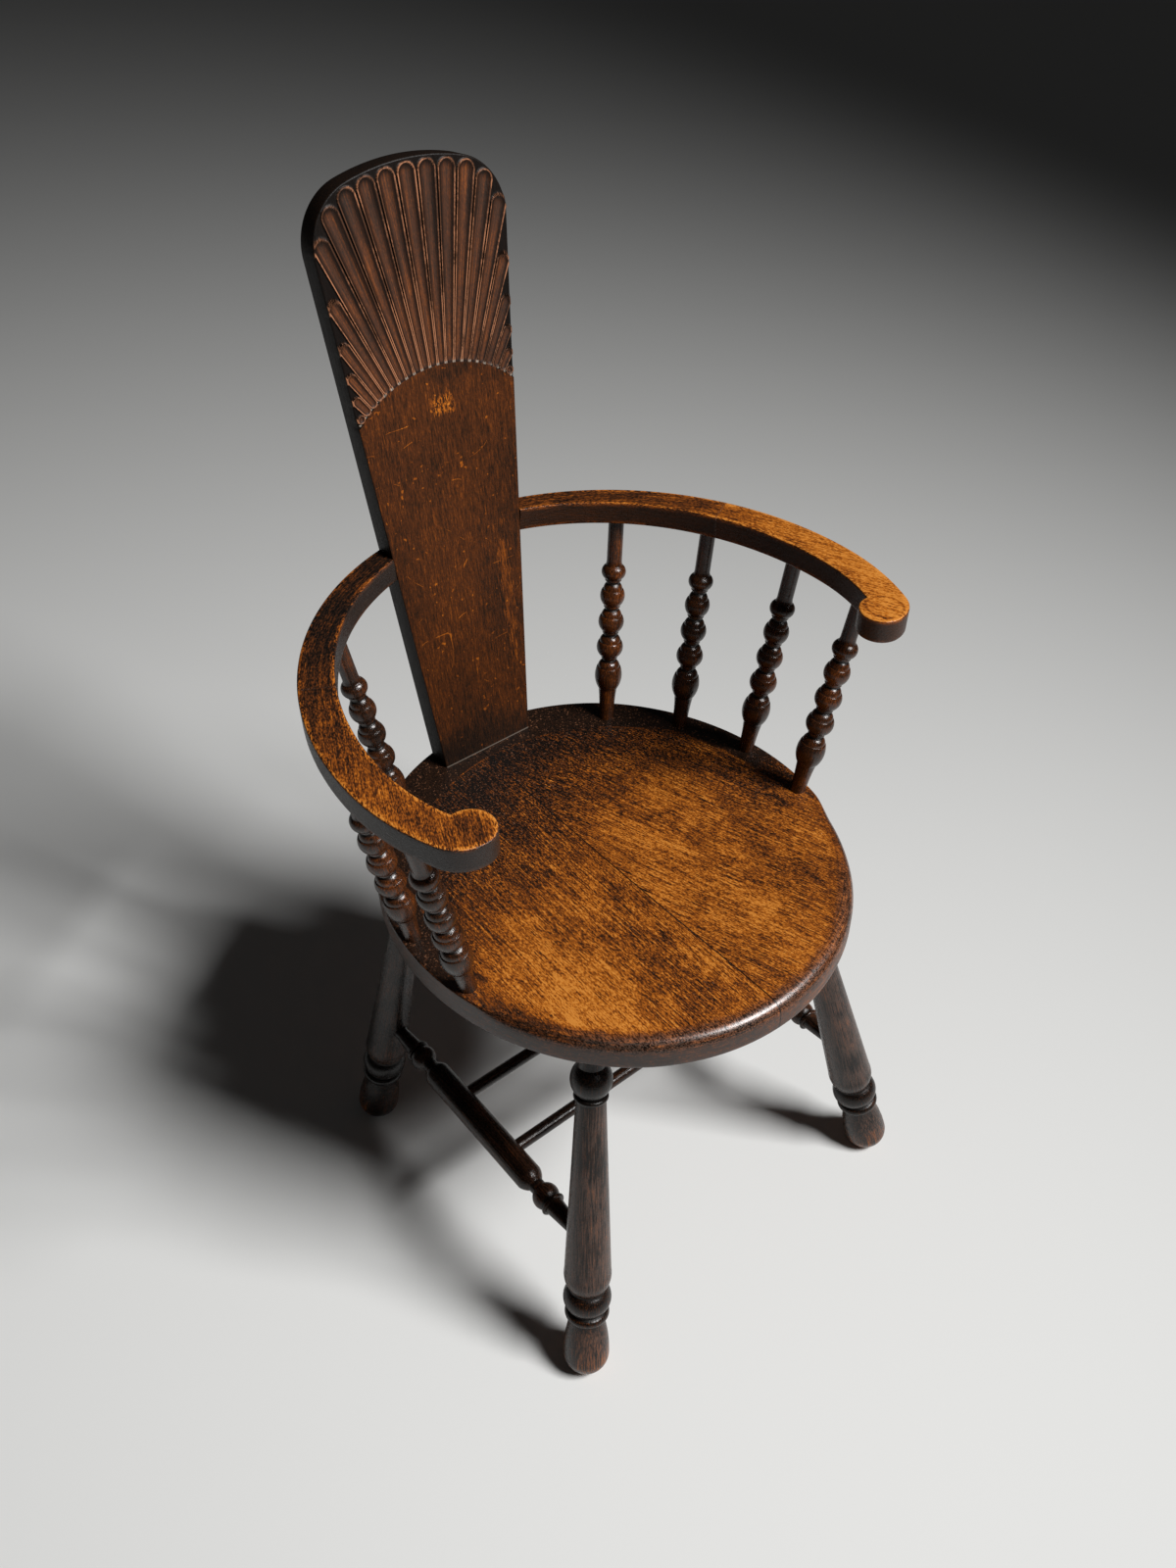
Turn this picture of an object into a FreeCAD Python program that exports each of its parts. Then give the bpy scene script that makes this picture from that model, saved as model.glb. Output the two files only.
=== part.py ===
import FreeCAD, Part
import math
import os

# Bobbin armchair of stained oak: a round seat on four splayed legs, a tall carved splat,
# and two hooped arms that stand on rows of bobbin-turned spindles.
# Millimetres. +Z is up, the chair faces -Y, and +X is the sitter's left.
# The chair is laid out about the seat's centre and then moved, so that the origin ends on the floor
# below the middle of the chair's overall width and depth.

Vector = FreeCAD.Vector

# Fits
SOCKET_CLEARANCE = 0.15
SOCKET_END_CLEARANCE = 0.5
JOINT_CLEARANCE = 0.1

# Seat: an oval of two slabs, square at the back and rounded at the front
SEAT_TOP = 427.5
SEAT_THICKNESS = 31.0
SEAT_HALF_WIDTH = 215.0
SEAT_HALF_DEPTH = 234.6
SEAT_END_TIGHTENING = 0.55
SEAT_NOSE_RADIUS = 12.0
SEAT_NOSE_START = 84.0
SEAT_EDGE_EASE = 2.0
SEAT_UNDER_ROUND = 5.0
SEAT_DISH_INSET = 29.0
SEAT_DISH_DEPTH = 4.0
SEAT_SEAM_X = -8.5
SEAT_DOWEL_RADIUS = 5.0
SEAT_DOWEL_LENGTH = 60.0
SEAT_DOWEL_SPACING = 130.0
SEAT_DOWEL_COUNT = 3

# Back splat, measured in its own leaning plane
SPLAT_INSET = 37.2
SPLAT_LEAN = 4.7
SPLAT_HEIGHT = 559.0
SPLAT_THICKNESS = 25.9
SPLAT_TOP_THICKNESS = 21.5
SPLAT_FOOT_HALF_WIDTH = 51.6
SPLAT_FLARE = 4.4
SPLAT_ARCH_RADIUS = 205.0
SPLAT_CORNER_RADIUS = 50.0
TENON_SIDE_SHOULDER = 10.0
TENON_FACE_SHOULDER = 6.5
WEDGE_LENGTH = 20.0
WEDGE_BUTT = 3.2
WEDGE_TIP = 1.0
WEDGE_INSET = 17.6

# Carved fan: round-ended flutes that spread from one point on the splat's middle line
FAN_CENTRE_DROP = 276.0
FAN_ARC_RADIUS = 114.0
FAN_PITCH = 4.0
FAN_SHORTEST_FLUTE = 6.0
FAN_RIDGE_SHARE = 0.14
FAN_DEPTH_SHARE = 0.3
FAN_MARGIN = 3.5

# Arms: a hoop of four quarter ellipses in one tilted plane, cut at the splat, with rolled front ends
ARM_RISE = 236.0
ARM_TILT = 1.43
ARM_THICKNESS = 22.3
ARM_WIDTH = 32.7
ARM_BACK_WIDTH = 22.0
ARM_OVERHANG = 44.8
ARM_CENTRE_Y = -22.4
ARM_FRONT_REACH = 231.9
SCROLL_START_Y = -108.0
SCROLL_OUTER_RADIUS = 32.0
SCROLL_INNER_RADIUS = 20.0
ARM_DOWEL_RADIUS = 5.0
ARM_DOWEL_HALF_LENGTH = 24.0

# Spindles, counted from the splat to the front
SPINDLE_COUNT = 4
SPINDLE_SIDE_INSET = 11.0
SPINDLE_BACK_INSET = 30.6
SPINDLE_FIRST_FOOT_ANGLE = 51.8
SPINDLE_FOOT_STEP = 22.1
SPINDLE_FIRST_HEAD_ANGLE = 50.0
SPINDLE_HEAD_STEP = 20.4
SPINDLE_FOOT_RADIUS = 7.6
SPINDLE_HEAD_RADIUS = 7.5
SPINDLE_SEAT_COVER = 13.0
SPINDLE_ARM_COVER = 8.3

# Turnings of a spindle from the bottom up: stem, vase, bobbins, bead and shank
STEM_SHARE = 0.43
STEM_SWELL = 0.4
STEM_TOP_RADIUS = 9.5
VASE_RADIUS = 13.9
VASE_LOW = 17.6
VASE_HIGH = 7.5
VASE_CAP = 7.5
BOBBIN_RADII = (13.5, 13.1, 12.4)
BOBBIN_LOW = 10.0
BOBBIN_HIGH = 6.6
BOBBIN_CAP = 7.2
BALL_ROUND = 1.7
CAP_STEP = 1.0
CAP_SHOULDER = 0.9
CAP_SHOULDER_RISE = 0.55
NECK_RADIUS = 6.5
NECK_LENGTH = 2.6
COLLAR_PROUD = 1.8
COLLAR_HEIGHT = 2.2
BEAD_RADIUS = 12.0
BEAD_LOW = 5.6
BEAD_HIGH = 8.6
FLARE_PROUD = 0.8
FLARE_WAIST = 0.3
FLARE_LENGTH = 4.0

# Legs: where each head enters the seat, and how far the foot stands out from it
FRONT_HEAD_INSET = (89.0, 105.6)
FRONT_SPLAY = (78.7, 78.1)
REAR_HEAD_INSET = (73.0, 108.9)
REAR_SPLAY = (63.8, 57.2)
LEG_SEAT_COVER = 11.0
LEG_HEAD_RADIUS = 12.7

# Turnings of a leg from the floor up: foot, ring, torus, taper, collar, ball and neck
FOOT_RADIUS = 22.6
FOOT_WEAR = 1.0
ANKLE_RADIUS = 15.8
ANKLE_HEIGHT = 69.0
GROOVE_RADIUS = 17.8
GROOVE_HEIGHT = 1.5
RING_PROUD = 3.8
RING_HEIGHT = 10.5
TORUS_PROUD = 5.5
TORUS_HEIGHT = 24.5
LEG_BODY_PROUD = 4.6
LEG_BODY_ROUND = 22.0
LEG_TAPER_RADIUS = 13.6
LEG_COLLAR_PROUD = 2.2
LEG_COLLAR_HEIGHT = 5.0
LEG_BALL_RADIUS = 19.0
LEG_BALL_FLAT = 3.5
LEG_BALL_DROP = 58.0
LEG_NECK_SET_IN = 1.5

# Side stretchers, measured from each leg's axis towards the middle
STRETCHER_HEIGHT_FRONT = 154.5
STRETCHER_HEIGHT_REAR = 162.5
STRETCHER_TIP_RADIUS = 7.4
STRETCHER_TIP_START = 6.0
STRETCHER_TIP_LENGTH = 20.0
STRETCHER_CONE_RADIUS = 9.7
STRETCHER_CONE_LENGTH = 25.0
STRETCHER_RING_RADIUS = 12.8
STRETCHER_RING_WIDTH = 4.0
STRETCHER_BALL_RADIUS = 13.4
STRETCHER_BALL_WIDTH = 19.0
STRETCHER_NECK_RADIUS = 8.0
STRETCHER_NECK_WIDTH = 6.0
STRETCHER_BARREL_RADIUS = 13.8
STRETCHER_SHOULDER_RADIUS = 11.8
STRETCHER_SHOULDER_WIDTH = 10.0

# Cross stretchers, placed along the side stretchers from the rear legs
CROSS_REAR = 129.0
CROSS_SPACING = 82.0
CROSS_RADIUS = 6.6
CROSS_CORE = 3.0

# Values that follow from the sizes above
LEAN = math.radians(SPLAT_LEAN)
FLARE = math.tan(math.radians(SPLAT_FLARE))
TILT = math.radians(ARM_TILT)
SEAT_UNDERSIDE = SEAT_TOP - SEAT_THICKNESS
SPLAT_FRONT_Y = SEAT_HALF_DEPTH - SPLAT_INSET
FAN_CENTRE_HEIGHT = SPLAT_HEIGHT - FAN_CENTRE_DROP
ARM_TOP = SEAT_TOP + ARM_RISE
ARM_HALF_WIDTH = SEAT_HALF_WIDTH + ARM_OVERHANG
SPINDLE_SEAT_DEPTH = SEAT_THICKNESS - SPINDLE_SEAT_COVER
SPINDLE_ARM_DEPTH = ARM_THICKNESS - SPINDLE_ARM_COVER
LEG_SEAT_DEPTH = SEAT_THICKNESS - LEG_SEAT_COVER
HALF_TURN_MIDDLE = math.sqrt(0.5)

# Longer than any cut through the chair, and finer than any of its steps
REACH = 2000.0
LEVEL_TOLERANCE = 0.01


class Outline:
    """Half outline of a turned piece, drawn upwards from its bottom end: radius against height."""

    def __init__(self, radius, height):
        self.edges = []
        self.first = Vector(radius, 0, height)
        self.last = self.first

    def line(self, radius, rise):
        self.line_to(radius, self.last.z + rise)

    def line_to(self, radius, height):
        end = Vector(radius, 0, height)
        self.edges.append(Part.LineSegment(self.last, end).toShape())
        self.last = end

    def arc(self, mid_radius, mid_rise, radius, rise):
        middle = Vector(mid_radius, 0, self.last.z + mid_rise)
        end = Vector(radius, 0, self.last.z + rise)
        self.edges.append(Part.Arc(self.last, middle, end).toShape())
        self.last = end

    def bulge(self, mid_radius, radius, rise):
        self.arc(mid_radius, rise / 2, radius, rise)

    def solid(self):
        axis_top = Vector(0, 0, self.last.z)
        axis_bottom = Vector(0, 0, self.first.z)
        closing = [Part.LineSegment(axis_top, axis_bottom).toShape()]
        if self.last.x > 0:
            closing.insert(0, Part.LineSegment(self.last, axis_top).toShape())
        if self.first.x > 0:
            closing.append(Part.LineSegment(axis_bottom, self.first).toShape())
        face = Part.Face(Part.Wire(self.edges + closing))
        return face.revolve(Vector(0, 0, 0), Vector(0, 0, 1), 360)


def along(shape, start, end):
    """The shape with its own Z axis laid from start towards end."""
    turn = FreeCAD.Rotation(Vector(0, 0, 1), end - start)
    placed = shape.copy()
    placed.Placement = FreeCAD.Placement(start, turn)
    return placed


def between(start, end, distance):
    """The point that lies the given distance from start on the way to end."""
    step = Vector(end - start)
    step.normalize()
    return start + step * distance


def rod(start, end, low, high, radius):
    """A plain cylinder on the line from start to end, between two distances from start."""
    return Part.makeCylinder(radius, high - low, between(start, end, low), end - start)


def cross_rod(middle, half_length, radius):
    """A plain cylinder along X about a middle point."""
    start = middle - Vector(half_length, 0, 0)
    return Part.makeCylinder(radius, 2 * half_length, start, Vector(1, 0, 0))


def block(low, high):
    """A box between two opposite corners."""
    size = high - low
    return Part.makeBox(size.x, size.y, size.z, low)


def on_right(shape):
    """The shape mirrored to the sitter's right."""
    return shape.mirror(Vector(0, 0, 0), Vector(1, 0, 0))


def level_edges(shape, level):
    """The shape's edges that lie flat at one height."""
    boxes = [(edge, edge.BoundBox) for edge in shape.Edges]
    flat = [(edge, box) for edge, box in boxes if box.ZLength < LEVEL_TOLERANCE]
    return [edge for edge, box in flat if abs(box.ZMin - level) < LEVEL_TOLERANCE]


def arc_edge(start, middle, end):
    return Part.Arc(start, middle, end).toShape()


def line_edge(start, end):
    return Part.LineSegment(start, end).toShape()


def polygon_prism(corners, sweep):
    """The flat polygon through the corners, swept along a vector."""
    return Part.Face(Part.makePolygon(corners + corners[:1])).extrude(sweep)


# The splat's own frame: x across, height up the front face, depth from the front face to the back

def splat_point(x, height, depth):
    y = SPLAT_FRONT_Y + height * math.sin(LEAN) + depth * math.cos(LEAN)
    z = SEAT_TOP + height * math.cos(LEAN) - depth * math.sin(LEAN)
    return Vector(x, y, z)


def splat_half_width(height):
    return SPLAT_FOOT_HALF_WIDTH + FLARE * height


def splat_depth(height):
    """Thickness of the splat, which thins from its foot to its top."""
    return SPLAT_THICKNESS + (SPLAT_TOP_THICKNESS - SPLAT_THICKNESS) * height / SPLAT_HEIGHT


def splat_corner():
    """Centre of the rounded top corner, which touches both the side and the top arch."""
    arch_height = SPLAT_HEIGHT - SPLAT_ARCH_RADIUS
    inset = SPLAT_CORNER_RADIUS * math.hypot(1, FLARE)
    x_at_arch = splat_half_width(arch_height) - inset
    reach = SPLAT_ARCH_RADIUS - SPLAT_CORNER_RADIUS
    a = 1 + FLARE ** 2
    b = 2 * FLARE * x_at_arch
    c = x_at_arch ** 2 - reach ** 2
    rise = (-b + math.sqrt(b ** 2 - 4 * a * c)) / (2 * a)
    return x_at_arch + FLARE * rise, arch_height + rise


def splat_blank(depth_low, depth_high, grow):
    """The splat's outline, grown at its sides, as a plate between two depths; it starts inside the seat."""
    corner_x, corner_height = splat_corner()
    radius = SPLAT_CORNER_RADIUS + grow
    foot_height = -SPLAT_THICKNESS
    side_turn = math.atan(FLARE)
    arch_turn = math.atan2(corner_height - (SPLAT_HEIGHT - SPLAT_ARCH_RADIUS), corner_x)

    def corner_point(side, turn):
        x = corner_x + radius * math.cos(turn)
        height = corner_height + radius * math.sin(turn)
        return splat_point(side * x, height, depth_low)

    top = splat_point(0, SPLAT_HEIGHT + grow, depth_low)
    grown_foot = splat_half_width(foot_height) + grow / math.cos(side_turn)
    foot = [splat_point(side * grown_foot, foot_height, depth_low) for side in (1, -1)]
    side_ends = [corner_point(side, -side_turn) for side in (1, -1)]
    corner_mids = [corner_point(side, (arch_turn - side_turn) / 2) for side in (1, -1)]
    arch_ends = [corner_point(side, arch_turn) for side in (1, -1)]
    edges = [
        line_edge(foot[1], foot[0]),
        line_edge(foot[0], side_ends[0]),
        arc_edge(side_ends[0], corner_mids[0], arch_ends[0]),
        arc_edge(arch_ends[0], top, arch_ends[1]),
        arc_edge(arch_ends[1], corner_mids[1], side_ends[1]),
        line_edge(side_ends[1], foot[1]),
    ]
    thickness = splat_point(0, 0, depth_high) - splat_point(0, 0, depth_low)
    return Part.Face(Part.Wire(edges)).extrude(thickness)


def splat_taper():
    """All that lies in front of the splat's back face."""
    low = -SPLAT_HEIGHT
    high = 2 * SPLAT_HEIGHT
    corners = [
        splat_point(-REACH, low, -REACH),
        splat_point(-REACH, low, splat_depth(low)),
        splat_point(-REACH, high, splat_depth(high)),
        splat_point(-REACH, high, -REACH),
    ]
    return polygon_prism(corners, Vector(2 * REACH, 0, 0))


def splat_tenon(grow):
    """The tenon under the splat, or its mortise when grown; it runs past both faces of the seat."""
    half_width = SPLAT_FOOT_HALF_WIDTH - TENON_SIDE_SHOULDER + grow
    front = TENON_FACE_SHOULDER - grow
    back = SPLAT_THICKNESS - TENON_FACE_SHOULDER + grow
    low = -2 * SEAT_THICKNESS
    high = SEAT_THICKNESS
    corners = [
        splat_point(-half_width, low, front),
        splat_point(half_width, low, front),
        splat_point(half_width, low, back),
        splat_point(-half_width, low, back),
    ]
    return polygon_prism(corners, splat_point(0, high, front) - splat_point(0, low, front))


def splat_wedge(side, grow):
    """A wedge driven up into the tenon's end from below, or its kerf when grown."""
    x = side * (SPLAT_FOOT_HALF_WIDTH - TENON_SIDE_SHOULDER - WEDGE_INSET)
    butt = WEDGE_BUTT / 2 + grow
    tip = WEDGE_TIP / 2 + grow
    bottom = SEAT_UNDERSIDE - grow
    top = SEAT_UNDERSIDE + WEDGE_LENGTH + grow
    front_y = SPLAT_FRONT_Y - SPLAT_THICKNESS
    corners = [
        Vector(x - butt, front_y, bottom),
        Vector(x + butt, front_y, bottom),
        Vector(x + tip, front_y, top),
        Vector(x - tip, front_y, top),
    ]
    return polygon_prism(corners, Vector(0, 3 * SPLAT_THICKNESS, 0))


def fan_reach(turn):
    """How far a line from the fan's centre runs before it meets the splat's outline, less the margin."""
    corner_x, corner_height = splat_corner()
    across = math.sin(turn)
    up = math.cos(turn)
    arch_rise = FAN_CENTRE_HEIGHT - (SPLAT_HEIGHT - SPLAT_ARCH_RADIUS)
    arch = -arch_rise * up + math.sqrt(SPLAT_ARCH_RADIUS ** 2 - (arch_rise * across) ** 2)
    side = REACH
    if across > FLARE * up:
        side = splat_half_width(FAN_CENTRE_HEIGHT) / (across - FLARE * up)
    half_b = (FAN_CENTRE_HEIGHT - corner_height) * up - corner_x * across
    root = half_b ** 2 - corner_x ** 2 - (FAN_CENTRE_HEIGHT - corner_height) ** 2
    root += SPLAT_CORNER_RADIUS ** 2
    corner = -half_b + math.sqrt(root) if root > 0 else REACH
    corner_turn = math.atan2(corner_x, corner_height - FAN_CENTRE_HEIGHT)
    edge = arch if turn < corner_turn else side
    return min(edge, corner) - FAN_MARGIN


def fan_flute(turn):
    """One flute: a cone that skims the front face, with a round outer end."""
    half_width = math.radians(FAN_PITCH) * (1 - FAN_RIDGE_SHARE) / 2
    depth = half_width * FAN_DEPTH_SHARE
    lift = (half_width ** 2 - depth ** 2) / (2 * depth)
    spread = lift + depth
    start = FAN_ARC_RADIUS
    end = fan_reach(abs(turn)) / (1 + half_width)
    apex = splat_point(0, FAN_CENTRE_HEIGHT, 0)
    axis = splat_point(math.sin(turn), FAN_CENTRE_HEIGHT + math.cos(turn), -lift) - apex
    axis.normalize()
    cone = Part.makeCone(start * spread, end * spread, end - start, apex + axis * start, axis)
    return cone.fuse(Part.makeSphere(end * spread, apex + axis * end))


def fan_flutes():
    """A flute on the middle line, then pairs of flutes for as long as the splat leaves them room."""
    turn = math.radians(FAN_PITCH)
    flutes = [fan_flute(0)]
    while fan_reach(turn) - FAN_ARC_RADIUS > FAN_SHORTEST_FLUTE:
        flutes += [fan_flute(turn), fan_flute(-turn)]
        turn += math.radians(FAN_PITCH)
    return flutes


# The arm's own frame: the plan of its top face, turned about the X axis by the tilt.
# A share of the way across the arm runs from 0 at its outer edge to 1 at its inner edge.

def arm_place(shape):
    placed = shape.copy()
    tilt = FreeCAD.Rotation(Vector(1, 0, 0), ARM_TILT)
    placed.Placement = FreeCAD.Placement(Vector(0, 0, ARM_TOP), tilt)
    return placed


def arm_point(x, y, depth):
    """A point of the arm's plan, the given depth below its top face, in the chair's frame."""
    return Vector(
        x,
        y * math.cos(TILT) + depth * math.sin(TILT),
        ARM_TOP + y * math.sin(TILT) - depth * math.cos(TILT),
    )


def splat_height_at_arms():
    """Height up the splat at which the middle of the arms' thickness meets it."""
    level = ARM_TOP - ARM_THICKNESS / 2 + SPLAT_FRONT_Y * math.tan(TILT)
    return (level - SEAT_TOP) / (math.cos(LEAN) - math.sin(LEAN) * math.tan(TILT))


def arm_side_axis(share):
    return ARM_HALF_WIDTH - ARM_WIDTH * share


def arm_front_axis(share):
    return ARM_FRONT_REACH - ARM_WIDTH * share


def arm_back_axis(share):
    """Back half axis; the inner edge comes flush to the splat's face where the arm meets it."""
    height = splat_height_at_arms()
    face_y = splat_point(0, height, 0).y
    across = splat_half_width(height) / arm_side_axis(1)
    inner = (face_y - ARM_CENTRE_Y) / math.sqrt(1 - across ** 2)
    return inner + ARM_BACK_WIDTH * (1 - share)


def arm_edge_point(share, degrees):
    """A point on the arm's plan at an angle round the hoop, which is 0 at the side and 90 at the back."""
    turn = math.radians(degrees)
    axis = arm_back_axis(share) if degrees > 0 else arm_front_axis(share)
    return Vector(arm_side_axis(share) * math.cos(turn), ARM_CENTRE_Y + axis * math.sin(turn), 0)


def arm_edges(share, last_degrees):
    """The hoop's line from the splat round to an angle near the front, as two arcs of ellipses."""
    edges = []
    side = arm_side_axis(share)
    for half, start, end in ((arm_back_axis(share), 0, 90), (arm_front_axis(share), last_degrees, 0)):
        quarter = 90 if half > side else 0
        ellipse = Part.Ellipse(Vector(0, 0, 0), max(half, side), min(half, side))
        arc = Part.ArcOfEllipse(ellipse, math.radians(start - quarter), math.radians(end - quarter))
        edge = arc.toShape()
        turn = FreeCAD.Rotation(Vector(0, 0, 1), quarter)
        edge.Placement = FreeCAD.Placement(Vector(0, ARM_CENTRE_Y, 0), turn)
        edges.append(edge)
    return edges


def arm_front_angle(share, y):
    """Angle round the hoop at which a line of its front part passes y."""
    return math.degrees(math.asin((y - ARM_CENTRE_Y) / arm_front_axis(share)))


def arm_blank():
    """The sitter's left arm before it is fitted to the splat, with its rolled scroll at the front."""
    outer_end = arm_front_angle(0, SCROLL_START_Y)
    start = arm_edge_point(0, outer_end)
    normal = math.atan2((start.y - ARM_CENTRE_Y) / ARM_FRONT_REACH ** 2, start.x / ARM_HALF_WIDTH ** 2)
    roll = start - Vector(math.cos(normal), math.sin(normal), 0) * SCROLL_OUTER_RADIUS
    eye = roll - Vector(0, SCROLL_OUTER_RADIUS - SCROLL_INNER_RADIUS, 0)
    middle = (normal - math.pi / 2) / 2
    roll_mid = roll + Vector(math.cos(middle), math.sin(middle), 0) * SCROLL_OUTER_RADIUS
    front = eye - Vector(0, SCROLL_INNER_RADIUS, 0)
    inside = eye - Vector(SCROLL_INNER_RADIUS, 0, 0)
    notch = eye + Vector(0, SCROLL_INNER_RADIUS, 0)
    inner_end = arm_front_angle(1, notch.y)
    edges = arm_edges(0, outer_end) + arm_edges(1, inner_end)
    edges += [
        arc_edge(start, roll_mid, front),
        arc_edge(front, inside, notch),
        line_edge(notch, arm_edge_point(1, inner_end)),
        line_edge(arm_edge_point(1, 90), arm_edge_point(0, 90)),
    ]
    face = Part.Face(Part.Wire(Part.__sortEdges__(edges)))
    return arm_place(face.extrude(Vector(0, 0, -ARM_THICKNESS)))


def arm_dowel(grow, end_grow):
    """The dowel that pins the left arm's end to the splat's edge, or its two sockets when grown."""
    height = splat_height_at_arms()
    middle = splat_point(splat_half_width(height), height, splat_depth(height) / 2)
    return cross_rod(middle, ARM_DOWEL_HALF_LENGTH + end_grow, ARM_DOWEL_RADIUS + grow)


# Spindles

def spindle_ends(index):
    """Foot on the seat and head under the left arm of one spindle, counted from the splat."""
    turn = math.radians(SPINDLE_FIRST_FOOT_ANGLE - SPINDLE_FOOT_STEP * index)
    x = (SEAT_HALF_WIDTH - SPINDLE_SIDE_INSET) * math.cos(turn)
    y = (SEAT_HALF_DEPTH - SPINDLE_BACK_INSET) * math.sin(turn)
    plan = arm_edge_point(0.5, SPINDLE_FIRST_HEAD_ANGLE - SPINDLE_HEAD_STEP * index)
    return Vector(x, y, SEAT_TOP), arm_point(plan.x, plan.y, ARM_THICKNESS)


def capped_ball(outline, radius, low, high, cap):
    """Adds a ball whose crown is a slightly smaller cap, set in by a small step, down to the neck."""
    outline.arc(radius, low, radius - BALL_ROUND, low + high)
    cap_radius = radius - BALL_ROUND - CAP_STEP
    outline.line(cap_radius, 0)
    outline.arc(cap_radius - CAP_SHOULDER, cap * CAP_SHOULDER_RISE, NECK_RADIUS, cap)


def neck_collar(outline):
    """Adds a short neck and the thin collar under the next ball."""
    outline.line(NECK_RADIUS, NECK_LENGTH)
    outline.line(NECK_RADIUS + COLLAR_PROUD, 0)
    outline.line(NECK_RADIUS + COLLAR_PROUD, COLLAR_HEIGHT)


def spindle_solid(length):
    """Vase, bobbins, a bead and a plain shank, with a round tenon at each end."""
    bobbin = NECK_LENGTH + COLLAR_HEIGHT + BOBBIN_LOW + BOBBIN_HIGH + BOBBIN_CAP
    vase = VASE_LOW + VASE_HIGH + VASE_CAP
    bead = NECK_LENGTH + COLLAR_HEIGHT + BEAD_LOW + BEAD_HIGH + FLARE_LENGTH
    plain = length - vase - bobbin * len(BOBBIN_RADII) - bead
    stem = plain * STEM_SHARE
    outline = Outline(SPINDLE_FOOT_RADIUS, -SPINDLE_SEAT_DEPTH)
    outline.line_to(SPINDLE_FOOT_RADIUS, 0)
    outline.bulge(SPINDLE_FOOT_RADIUS + STEM_SWELL, STEM_TOP_RADIUS, stem)
    capped_ball(outline, VASE_RADIUS, VASE_LOW, VASE_HIGH, VASE_CAP)
    for radius in BOBBIN_RADII:
        neck_collar(outline)
        capped_ball(outline, radius, BOBBIN_LOW, BOBBIN_HIGH, BOBBIN_CAP)
    neck_collar(outline)
    outline.arc(BEAD_RADIUS, BEAD_LOW, SPINDLE_HEAD_RADIUS + FLARE_PROUD, BEAD_LOW + BEAD_HIGH)
    outline.bulge(SPINDLE_HEAD_RADIUS + FLARE_WAIST, SPINDLE_HEAD_RADIUS, FLARE_LENGTH)
    outline.line_to(SPINDLE_HEAD_RADIUS, length + SPINDLE_ARM_DEPTH)
    return outline.solid()


# Legs and stretchers

def leg_ends(facing, head_inset, splay):
    """The left leg's axis at the floor and the seat's underside; facing is -1 in front and 1 behind."""
    head_x = SEAT_HALF_WIDTH - head_inset[0]
    head_y = facing * (SEAT_HALF_DEPTH - head_inset[1])
    foot = Vector(head_x + splay[0], head_y + facing * splay[1], 0)
    return foot, Vector(head_x, head_y, SEAT_UNDERSIDE)


def leg_solid(length):
    """The turned leg, with a round tenon at its head."""
    belly = FOOT_RADIUS - FOOT_WEAR
    ankle_rise = ANKLE_HEIGHT - belly
    ankle_draw = FOOT_RADIUS - ANKLE_RADIUS
    sweep = (ankle_rise ** 2 + ankle_draw ** 2) / (2 * ankle_draw)
    calf = FOOT_RADIUS - sweep + math.sqrt(sweep ** 2 - (ankle_rise / 2) ** 2)
    outline = Outline(0, -FOOT_WEAR)
    heel = FOOT_RADIUS * HALF_TURN_MIDDLE
    outline.arc(heel, FOOT_RADIUS - heel, FOOT_RADIUS, FOOT_RADIUS)
    outline.bulge(calf, ANKLE_RADIUS, ankle_rise)
    outline.line(GROOVE_RADIUS, GROOVE_HEIGHT)
    outline.bulge(GROOVE_RADIUS + RING_PROUD, GROOVE_RADIUS, RING_HEIGHT)
    outline.line(GROOVE_RADIUS, GROOVE_HEIGHT)
    outline.bulge(GROOVE_RADIUS + TORUS_PROUD, GROOVE_RADIUS, TORUS_HEIGHT)
    outline.line(GROOVE_RADIUS, GROOVE_HEIGHT)
    outline.arc(
        GROOVE_RADIUS + LEG_BODY_PROUD * HALF_TURN_MIDDLE,
        LEG_BODY_ROUND * (1 - HALF_TURN_MIDDLE),
        GROOVE_RADIUS + LEG_BODY_PROUD,
        LEG_BODY_ROUND,
    )
    half_ball = LEG_BALL_RADIUS - LEG_BALL_FLAT
    outline.line_to(LEG_TAPER_RADIUS, length - LEG_BALL_DROP - half_ball - LEG_COLLAR_HEIGHT)
    neck_radius = LEG_TAPER_RADIUS - LEG_NECK_SET_IN
    outline.bulge(LEG_TAPER_RADIUS + LEG_COLLAR_PROUD, neck_radius, LEG_COLLAR_HEIGHT)
    outline.bulge(LEG_BALL_RADIUS, neck_radius, 2 * half_ball)
    outline.line_to(LEG_HEAD_RADIUS, length - LEG_HEAD_RADIUS)
    outline.line_to(LEG_HEAD_RADIUS, length + LEG_SEAT_DEPTH)
    return outline.solid()


def stretcher_end(facing, head_inset, splay, height):
    """The point on a left leg's axis that the side stretcher joins."""
    foot, head = leg_ends(facing, head_inset, splay)
    return foot + (head - foot) * (height / SEAT_UNDERSIDE)


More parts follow.
